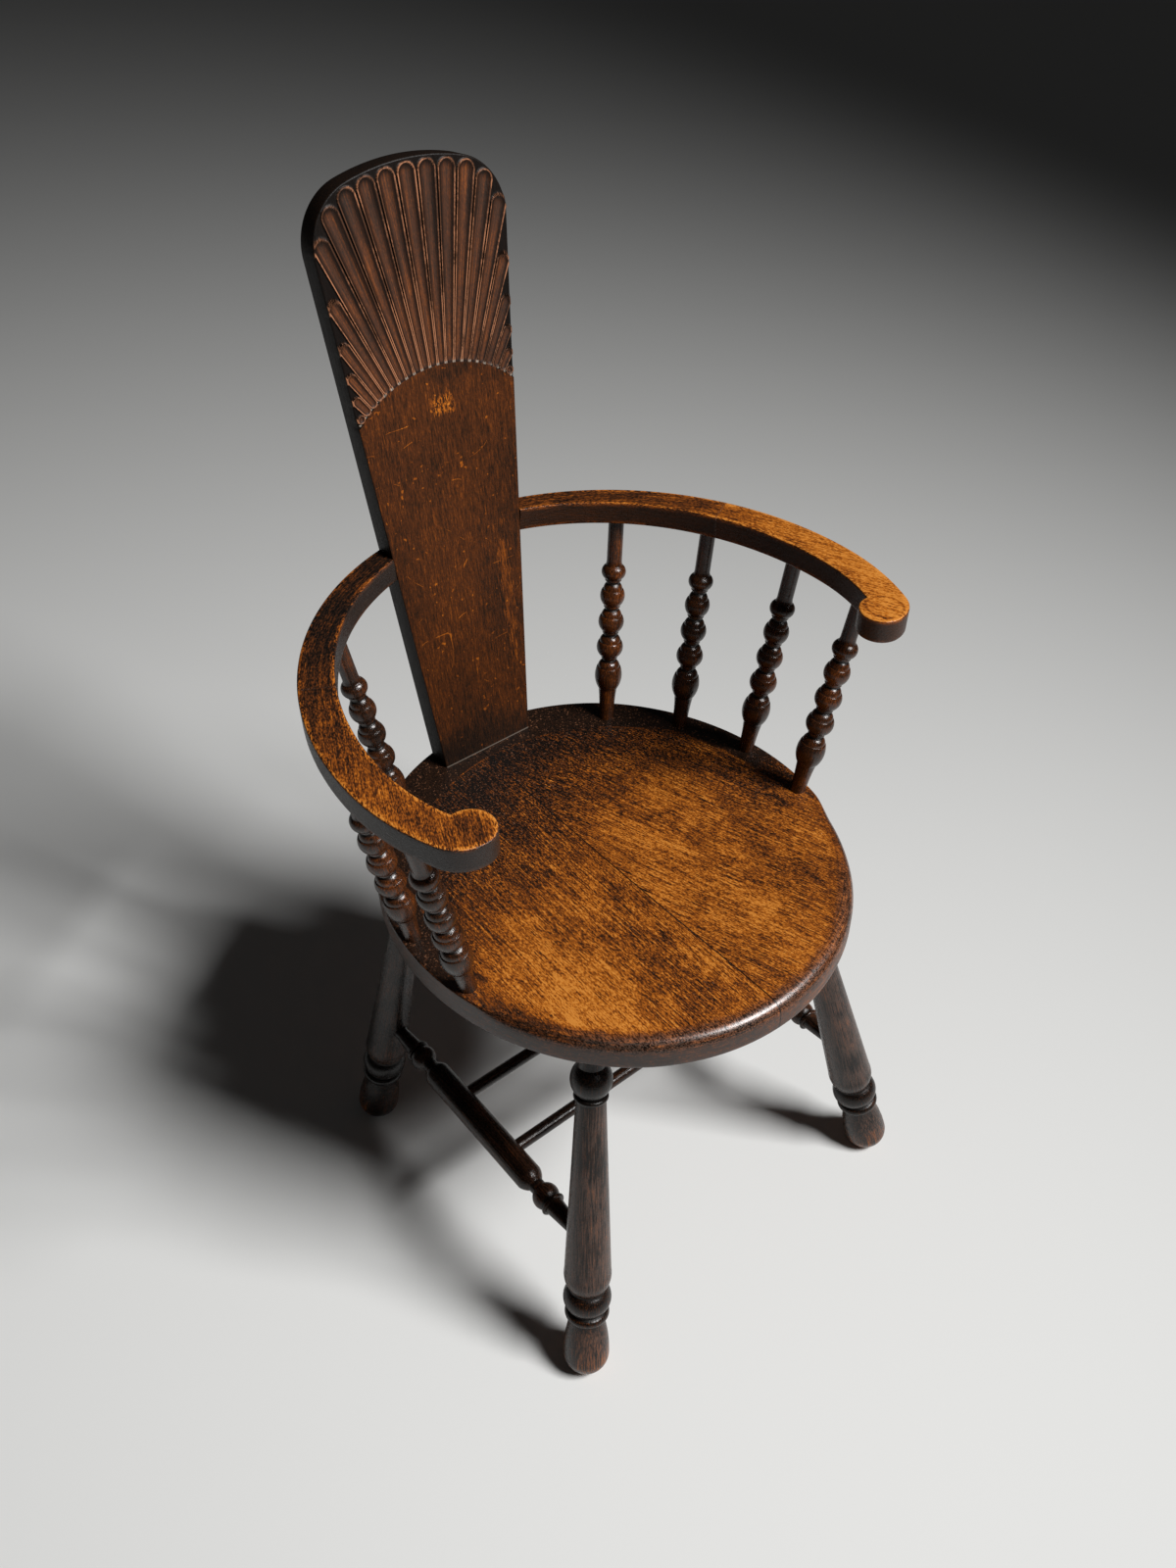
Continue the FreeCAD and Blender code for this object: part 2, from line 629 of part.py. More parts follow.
def side_stretcher_solid(length):
    """A barrel between a neck, a ball, a ring and a cone at each end, with plain tips for the legs."""
    outline = Outline(STRETCHER_TIP_RADIUS, STRETCHER_TIP_START)
    outline.line(STRETCHER_TIP_RADIUS, STRETCHER_TIP_LENGTH)
    outline.line(STRETCHER_CONE_RADIUS, STRETCHER_CONE_LENGTH)
    outline.bulge(STRETCHER_RING_RADIUS, STRETCHER_CONE_RADIUS, STRETCHER_RING_WIDTH)
    outline.bulge(STRETCHER_BALL_RADIUS, STRETCHER_NECK_RADIUS, STRETCHER_BALL_WIDTH)
    outline.line(STRETCHER_NECK_RADIUS, STRETCHER_NECK_WIDTH)
    outline.bulge(STRETCHER_SHOULDER_RADIUS, STRETCHER_BARREL_RADIUS, STRETCHER_SHOULDER_WIDTH)
    outline.line_to(STRETCHER_BARREL_RADIUS, length / 2)
    half = outline.solid()
    other_half = half.mirror(Vector(0, 0, length / 2), Vector(0, 0, 1))
    return half.fuse(other_half).removeSplitter()


# Seat

def seat_plate():
    """The seat's plan of four tangent arcs, as a square-edged plate."""
    end_radius = SEAT_HALF_WIDTH - SEAT_END_TIGHTENING * (SEAT_HALF_DEPTH - SEAT_HALF_WIDTH)
    end_centre = SEAT_HALF_DEPTH - end_radius
    side_radius = (end_radius ** 2 - SEAT_HALF_WIDTH ** 2 - end_centre ** 2) / (
        2 * (end_radius - SEAT_HALF_WIDTH)
    )
    turn = math.atan(end_centre / (side_radius - SEAT_HALF_WIDTH))
    x = end_radius * math.cos(turn)
    y = end_centre + end_radius * math.sin(turn)
    level = SEAT_UNDERSIDE
    joins = [Vector(x, -y, level), Vector(x, y, level), Vector(-x, y, level), Vector(-x, -y, level)]
    middles = [
        Vector(SEAT_HALF_WIDTH, 0, level),
        Vector(0, SEAT_HALF_DEPTH, level),
        Vector(-SEAT_HALF_WIDTH, 0, level),
        Vector(0, -SEAT_HALF_DEPTH, level),
    ]
    arcs = [arc_edge(a, m, b) for a, m, b in zip(joins, middles, joins[1:] + joins[:1])]
    return Part.Face(Part.Wire(arcs)).extrude(Vector(0, 0, SEAT_THICKNESS))


def seat_blank():
    """The whole seat before it is cut into boards: square back rim, rounded front, shallow dish."""
    plate = seat_plate()

    def rounded(top_radius):
        eased = plate.makeFillet(top_radius, level_edges(plate, SEAT_TOP))
        return eased.makeFillet(SEAT_UNDER_ROUND, level_edges(eased, SEAT_UNDERSIDE))

    front_zone = block(Vector(-REACH, -REACH, 0), Vector(REACH, -SEAT_NOSE_START, REACH))
    back_zone = block(Vector(-REACH, -SEAT_NOSE_START, 0), Vector(REACH, REACH, REACH))
    front = rounded(SEAT_NOSE_RADIUS).common(front_zone)
    back = rounded(SEAT_EDGE_EASE).common(back_zone)
    seat = front.fuse(back).removeSplitter()
    dish_radius = SEAT_HALF_WIDTH - SEAT_DISH_INSET
    bowl_radius = (dish_radius ** 2 + SEAT_DISH_DEPTH ** 2) / (2 * SEAT_DISH_DEPTH)
    bowl = Part.makeSphere(bowl_radius, Vector(0, 0, SEAT_TOP - SEAT_DISH_DEPTH + bowl_radius))
    return seat.cut(bowl)


def seat_dowels(grow, end_grow):
    """Dowels across the seat's seam, or their sockets when grown."""
    level = SEAT_UNDERSIDE + (SEAT_THICKNESS - SEAT_DISH_DEPTH) / 2
    first = -SEAT_DOWEL_SPACING * (SEAT_DOWEL_COUNT - 1) / 2
    dowels = []
    for index in range(SEAT_DOWEL_COUNT):
        middle = Vector(SEAT_SEAM_X, first + SEAT_DOWEL_SPACING * index, level)
        dowels.append(cross_rod(middle, SEAT_DOWEL_LENGTH / 2 + end_grow, SEAT_DOWEL_RADIUS + grow))
    return dowels


nodes = {}
seat_cuts = seat_dowels(SOCKET_CLEARANCE, SOCKET_END_CLEARANCE)
arm_cuts = []

# Spindles and their sockets
for index in range(SPINDLE_COUNT):
    foot, head = spindle_ends(index)
    length = (head - foot).Length
    left = along(spindle_solid(length), foot, head)
    nodes[f"left_spindle_{index + 1}"] = left
    nodes[f"right_spindle_{index + 1}"] = on_right(left)
    seat_end = -SPINDLE_SEAT_DEPTH - SOCKET_END_CLEARANCE
    arm_end = length + SPINDLE_ARM_DEPTH + SOCKET_END_CLEARANCE
    foot_socket = rod(foot, head, seat_end, SPINDLE_SEAT_DEPTH, SPINDLE_FOOT_RADIUS + SOCKET_CLEARANCE)
    seat_cuts += [foot_socket, on_right(foot_socket)]
    head_low = length - SPINDLE_ARM_DEPTH
    arm_cuts.append(rod(foot, head, head_low, arm_end, SPINDLE_HEAD_RADIUS + SOCKET_CLEARANCE))

# Side and cross stretchers
rear_end = stretcher_end(1, REAR_HEAD_INSET, REAR_SPLAY, STRETCHER_HEIGHT_REAR)
front_end = stretcher_end(-1, FRONT_HEAD_INSET, FRONT_SPLAY, STRETCHER_HEIGHT_FRONT)
stretcher_length = (front_end - rear_end).Length
stretcher = along(side_stretcher_solid(stretcher_length), rear_end, front_end)
for name, distance in (
    ("rear_cross_stretcher", CROSS_REAR),
    ("front_cross_stretcher", CROSS_REAR + CROSS_SPACING),
):
    joint = between(rear_end, front_end, distance)
    middle = Vector(0, joint.y, joint.z)
    half_length = joint.x - CROSS_CORE
    nodes[name] = cross_rod(middle, half_length, CROSS_RADIUS)
    socket = cross_rod(middle, half_length + SOCKET_END_CLEARANCE, CROSS_RADIUS + SOCKET_CLEARANCE)
    stretcher = stretcher.cut(socket)
nodes["left_side_stretcher"] = stretcher
nodes["right_side_stretcher"] = on_right(stretcher)

# Legs, cut level with the floor
floor_cut = block(Vector(-REACH, -REACH, -REACH), Vector(REACH, REACH, 0))
tip_low = STRETCHER_TIP_START - SOCKET_END_CLEARANCE
tip_high = STRETCHER_TIP_START + STRETCHER_TIP_LENGTH
for place, facing, inset, splay, near, far in (
    ("front", -1, FRONT_HEAD_INSET, FRONT_SPLAY, front_end, rear_end),
    ("rear", 1, REAR_HEAD_INSET, REAR_SPLAY, rear_end, front_end),
):
    low, high = leg_ends(facing, inset, splay)
    length = (high - low).Length
    leg = along(leg_solid(length), low, high).cut(floor_cut)
    leg = leg.cut(rod(near, far, tip_low, tip_high, STRETCHER_TIP_RADIUS + SOCKET_CLEARANCE))
    nodes[f"{place}_left_leg"] = leg
    nodes[f"{place}_right_leg"] = on_right(leg)
    head_end = length + LEG_SEAT_DEPTH + SOCKET_END_CLEARANCE
    socket = rod(low, high, length - LEG_SEAT_DEPTH, head_end, LEG_HEAD_RADIUS + SOCKET_CLEARANCE)
    seat_cuts += [socket, on_right(socket)]

# Splat, its wedges and the arm dowels
seat_slab = block(Vector(-REACH, -REACH, SEAT_UNDERSIDE), Vector(REACH, REACH, SEAT_TOP))
above_seat = block(Vector(-REACH, -REACH, SEAT_TOP), Vector(REACH, REACH, REACH))
tenon = splat_tenon(0).common(seat_slab)
wedges = [splat_wedge(side, 0).common(tenon) for side in (-1, 1)]
kerfs = [splat_wedge(side, JOINT_CLEARANCE) for side in (-1, 1)]
dowel = arm_dowel(0, 0)
dowel_socket = arm_dowel(SOCKET_CLEARANCE, SOCKET_END_CLEARANCE)
plate = splat_blank(0, SPLAT_THICKNESS, 0).common(above_seat).common(splat_taper())
splat = plate.fuse(tenon.cut(kerfs)).removeSplitter()
splat = splat.cut([dowel_socket, on_right(dowel_socket)])
nodes["back_splat"] = splat.cut(fan_flutes())
nodes["splat_wedges"] = Part.makeCompound(wedges)
nodes["arm_dowels"] = Part.makeCompound([dowel, on_right(dowel)])

# Arms
splat_room = splat_blank(-2 * ARM_WIDTH, SPLAT_THICKNESS + 2 * ARM_WIDTH, JOINT_CLEARANCE)
arm = arm_blank().cut([splat_room, dowel_socket] + arm_cuts)
nodes["left_arm"] = arm
nodes["right_arm"] = on_right(arm)

# Seat boards
seat = seat_blank().cut(seat_cuts + [splat_tenon(JOINT_CLEARANCE)])
left_zone = block(Vector(SEAT_SEAM_X + JOINT_CLEARANCE / 2, -REACH, 0), Vector(REACH, REACH, REACH))
right_zone = block(Vector(-REACH, -REACH, 0), Vector(SEAT_SEAM_X - JOINT_CLEARANCE / 2, REACH, REACH))
nodes["left_seat_board"] = seat.common(left_zone)
nodes["right_seat_board"] = seat.common(right_zone)
nodes["seat_dowels"] = Part.makeCompound(seat_dowels(0, 0))

# Origin below the middle of the chair, from the seat's front edge to the splat's top back edge
back_edge = splat_point(0, SPLAT_HEIGHT, SPLAT_TOP_THICKNESS).y
to_origin = Vector(0, (SEAT_HALF_DEPTH - back_edge) / 2, 0)

os.makedirs("parts", exist_ok=True)
for name, shape in nodes.items():
    placed = shape.copy()
    placed.translate(to_origin)
    placed.exportStep(f"parts/{name}.step")
    print(name, len(placed.Solids), placed.isValid(), round(placed.Volume / 1000, 1), "cm3")
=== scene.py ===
import math
from functools import partial

import bmesh
import bpy
from bpy.props import FloatProperty, FloatVectorProperty, IntProperty, PointerProperty
from mathutils import Matrix, Vector


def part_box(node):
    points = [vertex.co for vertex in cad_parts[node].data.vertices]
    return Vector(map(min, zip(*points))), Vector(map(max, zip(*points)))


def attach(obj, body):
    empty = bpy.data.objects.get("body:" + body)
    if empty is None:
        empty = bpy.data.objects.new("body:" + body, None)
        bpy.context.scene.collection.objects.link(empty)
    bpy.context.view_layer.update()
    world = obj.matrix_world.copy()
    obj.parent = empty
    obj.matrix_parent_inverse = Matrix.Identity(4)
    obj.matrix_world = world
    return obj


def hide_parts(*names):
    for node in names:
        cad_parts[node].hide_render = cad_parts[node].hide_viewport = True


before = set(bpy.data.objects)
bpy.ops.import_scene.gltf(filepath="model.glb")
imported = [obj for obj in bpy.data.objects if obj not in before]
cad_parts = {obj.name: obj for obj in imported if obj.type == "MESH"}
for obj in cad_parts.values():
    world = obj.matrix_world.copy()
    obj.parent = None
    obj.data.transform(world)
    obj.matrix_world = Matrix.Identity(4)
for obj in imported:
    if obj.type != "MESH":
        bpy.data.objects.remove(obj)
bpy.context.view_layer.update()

bl_info = {
    "name": "Bobbin Armchair",
    "version": (1, 0, 0),
    "blender": (4, 5, 0),
    "location": "View3D > Sidebar > Armchair",
    "description": "Dresses the frame of a bobbin armchair in turned, carved and worn oak",
    "category": "Add Mesh",
}

MM = 0.001
SIDES = (("left", 1), ("right", -1))

# Fits that the solids have too
SOCKET_PLAY = 0.15 * MM
SOCKET_END = 0.5 * MM
JOINT_GAP = 0.1 * MM
SEAT_DOWEL_SPACING = 130.0 * MM
SEAT_DOWEL_HALF = 30.5 * MM
SEAT_DOWEL_RADIUS = 5.15 * MM

# Degrees past which an edge stays sharp
TURNED_CREASE = 50
SAWN_CREASE = 40
CARVED_CREASE = 42


# Sizes and colours that a user would change

def length(name, millimetres, description):
    return FloatProperty(
        name=name,
        description=description,
        default=millimetres * MM,
        unit="LENGTH",
        subtype="DISTANCE",
        precision=4,
    )


def lengths(name, across, along, description):
    return FloatVectorProperty(
        name=name,
        description=description,
        default=(across * MM, along * MM),
        size=2,
        unit="LENGTH",
    )


def spot(name, x, y, z, description):
    return FloatVectorProperty(
        name=name,
        description=description,
        default=(x, y, z),
        size=3,
        subtype="TRANSLATION",
        unit="LENGTH",
    )


def turn(name, degrees, description):
    return FloatProperty(
        name=name,
        description=description,
        default=math.radians(degrees),
        unit="ROTATION",
        subtype="ANGLE",
    )


def share(name, value, description):
    return FloatProperty(
        name=name, description=description, default=value, subtype="FACTOR", min=0, max=1
    )


def whole(name, value, lowest, description):
    return IntProperty(name=name, description=description, default=value, min=lowest)


def number(name, value, unit, description):
    return FloatProperty(name=name, description=description, default=value, unit=unit)


def colour(name, red, green, blue, description):
    return FloatVectorProperty(
        name=name,
        description=description,
        default=(red, green, blue, 1),
        size=4,
        subtype="COLOR",
        min=0,
        max=1,
    )


def boards_box():
    """Lowest and highest corners of the two seat boards together."""
    boxes = [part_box(f"{side}_seat_board") for side, _ in SIDES]
    lowest = Vector(map(min, boxes[0][0], boxes[1][0]))
    highest = Vector(map(max, boxes[0][1], boxes[1][1]))
    return lowest, highest


SEAT_LOW, SEAT_HIGH = boards_box()
SEAT_MIDDLE = (SEAT_LOW + SEAT_HIGH) / 2
SEAT_SIZE = (SEAT_HIGH - SEAT_LOW) / MM


class SeatSizes(bpy.types.PropertyGroup):
    """Sizes of the two-board seat."""

    top: length("Top", SEAT_HIGH.z / MM, "Height of the seat's rim")
    thickness: length("Thickness", SEAT_SIZE.z, "Thickness at the rim")
    half_width: length("Half width", SEAT_SIZE.x / 2, "From the middle to a side")
    half_depth: length("Half depth", SEAT_SIZE.y / 2, "From the middle to the front")
    end_tightening: share("End tightening", 0.55, "How much tighter the front and back curve")
    nose: length("Nose radius", 12.0, "Rounding of the front edge")
    nose_start: length("Nose start", 84.0, "From the middle to where the front rounding starts")
    nose_fade: length("Nose fade", 34.0, "Run in which the edge turns from eased to rounded")
    ease: length("Edge ease", 2.0, "Rounding of the back edge")
    under_round: length("Under round", 5.0, "Rounding below")
    dish_inset: length("Dish inset", 29.0, "From the side to the dish")
    dish_depth: length("Dish depth", 4.0, "Depth of the dish in the middle")
    seam: length("Seam", -8.5, "Place of the seam between the boards")
    seam_gap: length("Seam gap", 0.1, "Open width of the seam")


class SplatSizes(bpy.types.PropertyGroup):
    """Sizes of the carved back splat, in its own leaning plane."""

    inset: length("Inset", 37.2, "From the back of the seat to the splat's face")
    lean: turn("Lean", 4.7, "Lean backwards")
    height: length("Height", 559.0, "Height up the face")
    thickness: length("Thickness", 25.9, "Thickness at the foot")
    top_thickness: length("Top thickness", 21.5, "Thickness at the top")
    foot_half_width: length("Foot half width", 51.6, "Half of the width at the seat")
    flare: turn("Flare", 4.4, "How far each side leans out")
    arch: length("Arch radius", 205.0, "Radius of the top")
    corner: length("Corner radius", 50.0, "Radius of the top corners")
    ease: length("Edge ease", 1.3, "Rounding of the edges")
    side_shoulder: length("Side shoulder", 10.0, "Tenon's shoulder at each side")
    face_shoulder: length("Face shoulder", 6.5, "Tenon's shoulder at each face")
    wedge_length: length("Wedge length", 20.0, "Length of the tenon's wedges")
    wedge_butt: length("Wedge butt", 3.2, "Thickness of a wedge below")
    wedge_tip: length("Wedge tip", 1.0, "Thickness of a wedge above")
    wedge_inset: length("Wedge inset", 17.6, "From the tenon's side to a wedge")


class FanSizes(bpy.types.PropertyGroup):
    """Sizes of the carved fan."""

    drop: length("Centre drop", 276.0, "From the splat's top down to the fan's centre")
    arc: length("Arc radius", 114.0, "Radius at which the flutes start")
    pitch: turn("Pitch", 4.0, "Angle from flute to flute")
    steps: whole("Steps", 20, 4, "Faces across one flute")
    rows: whole("Rows", 96, 8, "Faces along a flute")
    ridge: share("Ridge share", 0.17, "Share of the pitch that the ridges take")
    depth: share("Depth share", 0.34, "Depth of a flute against half of its width")
    lip: length("Lip", 0.45, "Width of the flat lip round a flute")
    slope: number("Slope", 2.0, "NONE", "Fall from a lip to the ground")
    ground: length("Ground", 1.3, "Depth of the ground between the flutes")
    margin: length("Margin", 3.2, "From the flutes' tips to the splat's edge")
    base: length("Base margin", 0.7, "From the arc to the flutes' lower ends")


class ArmSizes(bpy.types.PropertyGroup):
    """Sizes of the hooped arms."""

    rise: length("Rise", 236.0, "From the seat to the arm's top")
    tilt: turn("Tilt", 1.43, "Rise of the hoop towards the back")
    thickness: length("Thickness", 22.3, "Thickness of the arm")
    width: length("Width", 32.7, "Width at the side")
    back_width: length("Back width", 22.0, "Width at the splat")
    overhang: length("Overhang", 44.8, "From the seat's side to the arm's outer edge")
    centre: length("Centre", -22.4, "Place of the hoop's centre, front to back")
    reach: length("Front reach", 231.9, "Half length of the front part of the hoop")
    scroll_start: length("Scroll start", -108.0, "Where the scroll starts, front to back")
    scroll_outer: length("Scroll outer radius", 32.0, "Radius of the scroll's outside")
    scroll_inner: length("Scroll inner radius", 20.0, "Radius of the scroll's inside")
    ease: length("Edge ease", 1.5, "Rounding of the worn edges")
    worn: length("Worn edge", 3.0, "Width of the wear along the edges")
    dowel_radius: length("Dowel radius", 5.15, "Radius of the dowel's socket")
    dowel_half: length("Dowel half length", 24.5, "Half of the depth of the dowel's sockets")


class SpindleSizes(bpy.types.PropertyGroup):
    """Sizes of the bobbin-turned spindles."""

    count: whole("Count", 4, 1, "Spindles on each side")
    side_inset: length("Side inset", 11.0, "From the seat's side to the ring of feet")
    back_inset: length("Back inset", 30.6, "From the seat's back to the ring of feet")
    first_foot: turn("First foot", 51.8, "Angle of the first foot round the seat")
    foot_step: turn("Foot step", 22.1, "Angle from foot to foot")
    first_head: turn("First head", 50.0, "Angle of the first head round the hoop")
    head_step: turn("Head step", 20.4, "Angle from head to head")
    foot: length("Foot radius", 7.6, "Radius at the seat")
    head: length("Head radius", 7.5, "Radius at the arm")
    seat_cover: length("Seat cover", 13.0, "Wood left under a foot")
    arm_cover: length("Arm cover", 8.3, "Wood left over a head")
    stem_share: share("Stem share", 0.43, "Share of the plain length below the bobbins")
    stem_swell: length("Stem swell", 0.4, "Swell of the stem")
    stem_top: length("Stem top", 9.5, "Radius at the top of the stem")
    vase: length("Vase radius", 13.9, "Radius of the vase")
    bobbin: length("Bobbin radius", 13.5, "Radius of the lowest bobbin")
    bobbin_fall: length("Bobbin fall", 0.55, "How much smaller each next bobbin is")
    bead: length("Bead radius", 12.0, "Radius of the bead above the bobbins")
    neck: length("Neck radius", 6.5, "Radius of the necks")


class LegSizes(bpy.types.PropertyGroup):
    """Sizes of the splayed legs."""

    front_head: lengths("Front head inset", 89.0, 105.6, "From the seat's side and front to a head")
    front_splay: lengths("Front splay", 78.7, 78.1, "How far a front foot stands out")
    rear_head: lengths("Rear head inset", 73.0, 108.9, "From the seat's side and back to a head")
    rear_splay: lengths("Rear splay", 63.8, 57.2, "How far a rear foot stands out")
    seat_cover: length("Seat cover", 11.0, "Wood left over a leg's head")
    head: length("Head radius", 12.7, "Radius of the tenon")
    foot: length("Foot radius", 22.6, "Radius of the foot")
    ankle: length("Ankle radius", 15.8, "Radius of the ankle")
    ankle_height: length("Ankle height", 69.0, "Height of the ankle")
    groove: length("Groove radius", 17.8, "Radius between the rings")
    ring_proud: length("Ring proud", 3.8, "How far the lower ring stands out")
    torus_proud: length("Torus proud", 5.5, "How far the upper ring stands out")
    body_proud: length("Body proud", 4.6, "How far the body stands out")
    taper: length("Taper radius", 13.6, "Radius at the top of the taper")
    ball: length("Ball radius", 19.0, "Radius of the ball below the seat")
    ball_drop: length("Ball drop", 58.0, "From the seat down to the ball's middle")


class StretcherSizes(bpy.types.PropertyGroup):
    """Sizes of the stretchers between the legs."""

    front_height: length("Front height", 154.5, "Height at the front legs")
    rear_height: length("Rear height", 162.5, "Height at the rear legs")
    tip: length("Tip radius", 7.4, "Radius in the legs")
    tip_start: length("Tip start", 6.0, "From a leg's axis to the tip")
    tip_length: length("Tip length", 20.0, "Length of the plain tip")
    cone: length("Cone radius", 9.7, "Radius at the top of the cone")
    cone_length: length("Cone length", 25.0, "Length of the cone")
    ring: length("Ring radius", 12.8, "Radius of the ring")
    ball: length("Ball radius", 13.4, "Radius of the ball")
    neck: length("Neck radius", 8.0, "Radius of the neck")
    barrel: length("Barrel radius", 13.8, "Radius of the barrel")
    cross_rear: length("Rear cross", 129.0, "From a rear leg to the rear cross stretcher")
    cross_spacing: length("Cross spacing", 82.0, "Between the cross stretchers")
    cross: length("Cross radius", 6.6, "Radius of the cross stretchers")
    cross_core: length("Cross core", 3.0, "Wood left beyond a cross stretcher's end")


class OakColours(bpy.types.PropertyGroup):
    """Colours of the stained and worn oak."""

    # Black: old polish and dirt, and also the painted shade in the flutes and in the ground between
    # them.
    black_dirt_and_shade: colour("Black", 0.004, 0.003, 0.0025, "Old polish and dirt in the recesses")
    stain: colour("Stain", 0.020, 0.0085, 0.0040, "Dark stain")
    russet: colour("Russet", 0.070, 0.0195, 0.0048, "Thin red-brown stain")
    amber: colour("Amber", 0.205, 0.053, 0.0060, "Worn wood")
    honey: colour("Honey", 0.410, 0.120, 0.0100, "Well worn wood")
    bare: colour("Bare", 0.550, 0.205, 0.032, "Bare polished wood")
    copper: colour("Copper", 0.380, 0.160, 0.080, "Rubbed lips of the carving")
    # Ash: dull grey-brown wood, and also a grey painted sheen on the seat's side, the arms' sides,
    # the carving and the legs.
    ash_and_sheen: colour("Ash", 0.075, 0.055, 0.046, "Dull grey-brown wood")
    # Dust: a pale dust line at the splat's foot, and also pale painted highlights on the ridges'
    # ends and along the seat's nose.
    dust_and_highlight: colour("Dust", 0.330, 0.280, 0.230, "Pale dust and rubbed points")


class StageSettings(bpy.types.PropertyGroup):
    """Floor, light and camera."""

    floor: colour("Floor", 0.80, 0.80, 0.785, "Colour of the floor")
    key_place: spot("Key place", 1.08, -2.13, 3.10, "Place of the main light")
    key_aim: spot("Key aim", -1.5, 1.5, 0.0, "Point that the main light faces")
    key_width: length("Key width", 1250.0, "Width of the main light")
    key_height: length("Key height", 900.0, "Height of the main light")
    key_spread: turn("Key spread", 105.0, "Width of the main light's beam")
    key_power: number("Key power", 74.0, "POWER", "Power of the main light")
    back_place: spot("Back place", 0.7, 1.9, 0.004, "Place of the low light behind, which faces up")
    back_size: length("Back size", 1200.0, "Width of the low light behind")
    back_power: number("Back power", 60.0, "POWER", "Power of the low light behind")
    fill: number("Fill", 0.018, "NONE", "Strength of the even light")
    camera_place: spot("Camera place", -0.5458, -0.68672, 1.2687, "Place of the camera")
    camera_yaw: turn("Camera yaw", -37.807, "Turn of the camera about the vertical")
    camera_pitch: turn("Camera pitch", -41.219, "Tilt of the camera below the horizon")
    camera_roll: turn("Camera roll", -1.319, "Turn of the camera about its own axis")
    lens: number("Lens", 29.44, "CAMERA", "Focal length")


def chair(group):
    """One group of the chair's settings, such as seat or arm."""
    return getattr(bpy.context.scene, f"armchair_{group}")


# Nodes

class Wire:
    """A node's output that can stand in Python expressions; each operation adds a Math node."""

    def __init__(self, net, socket):
        self.net = net
        self.socket = socket

    def out(self, name):
        """Another output of the same node."""
        return Wire(self.net, self.socket.node.outputs[name])

    def __add__(self, other):
        return self.net.maths("ADD", self, other)

    def __radd__(self, other):
        return self.net.maths("ADD", other, self)

    def __sub__(self, other):
        return self.net.maths("SUBTRACT", self, other)

    def __rsub__(self, other):
        return self.net.maths("SUBTRACT", other, self)

    def __mul__(self, other):
        return self.net.maths("MULTIPLY", self, other)

    def __rmul__(self, other):
        return self.net.maths("MULTIPLY", other, self)

    def __truediv__(self, other):
        return self.net.maths("DIVIDE", self, other)

    def __rtruediv__(self, other):
        return self.net.maths("DIVIDE", other, self)

    def __neg__(self):
        return self.net.maths("SUBTRACT", 0.0, self)

    def __abs__(self):
        return self.net.maths("ABSOLUTE", self)


class Net:
    """A node tree with one way to add a node: its type, its settings, then its sockets."""

    def __init__(self, tree):
        self.tree = tree

    def node(self, kind, settings=None, sockets=None, out=0):
        made = self.tree.nodes.new(kind)
        for name, value in (settings or {}).items():
            setattr(made, name, value)
        for key, value in (sockets or {}).items():
            if isinstance(value, Wire):
                self.tree.links.new(value.socket, made.inputs[key])
            else:
                made.inputs[key].default_value = value
        return Wire(self, made.outputs[out])

    def maths(self, operation, *values):
        return self.node("ShaderNodeMath", {"operation": operation}, dict(enumerate(values)))

    def least(self, first, second):
        return self.maths("MINIMUM", first, second)

    def most(self, first, second):
        return self.maths("MAXIMUM", first, second)

    def vectors(self, operation, first, second):
        return self.node("ShaderNodeVectorMath", {"operation": operation}, {0: first, 1: second})

    def distance(self, x, y):
        """From the origin of a plane to its point x, y."""
        return self.maths("SQRT", x * x + y * y)

    def parts(self, vector):
        """The three numbers of a vector."""
        split = self.node("ShaderNodeSeparateXYZ", None, {0: vector})
        return split, split.out("Y"), split.out("Z")

    def joined(self, x, y, z):
        return self.node("ShaderNodeCombineXYZ", None, {0: x, 1: y, 2: z})

    def fade(self, value, low, high):
        """0 below low and 1 above high, with a smooth turn between them."""
        settings = {"interpolation_type": "SMOOTHSTEP"}
        return self.node("ShaderNodeMapRange", settings, {0: value, 1: low, 2: high})

    def mix(self, factor, first, second):
        """From the first colour to the second."""
        settings = {"data_type": "RGBA"}
        return self.node("ShaderNodeMix", settings, {0: factor, 6: first, 7: second}, out=2)

    def ramp(self, value, stops):
        """A colour that changes with a value through the given stops."""
        made = self.node("ShaderNodeValToRGB", None, {0: value})
        elements = made.socket.node.color_ramp.elements
        for place, tone in stops[1:-1]:
            elements.new(place).color = tone
        for element, (place, tone) in zip((elements[0], elements[-1]), (stops[0], stops[-1])):
            element.position = place
            element.color = tone
        return made

    def noise(self, place, across, along, detail=2.0, rough=0.5, warp=0.0):
        """Noise with a number of features per metre across and along the grain, which runs on Z."""
        scaled = self.vectors("MULTIPLY", place, (across, across, along))
        sockets = {"Vector": scaled, "Scale": 1.0, "Detail": detail, "Roughness": rough}
        sockets["Distortion"] = warp
        return self.node("ShaderNodeTexNoise", None, sockets)


def new_tree(name, inputs):
    """A geometry tree with named inputs: its net, and the node that gives the inputs."""
    tree = bpy.data.node_groups.new(name, "GeometryNodeTree")
    for label, kind in inputs:
        tree.interface.new_socket(label, in_out="INPUT", socket_type=f"NodeSocket{kind}")
    tree.interface.new_socket("Geometry", in_out="OUTPUT", socket_type="NodeSocketGeometry")
    net = Net(tree)
    return net, net.node("NodeGroupInput")


def close_tree(net, geometry, finish):
    """Ends a geometry tree in plain geometry with its finish."""
    realized = net.node("GeometryNodeRealizeInstances", None, {0: geometry})
    finished = net.node("GeometryNodeSetMaterial", None, {0: realized, 2: finish})
    group_output = net.tree.nodes.new("NodeGroupOutput")
    net.tree.links.new(finished.socket, group_output.inputs[0])


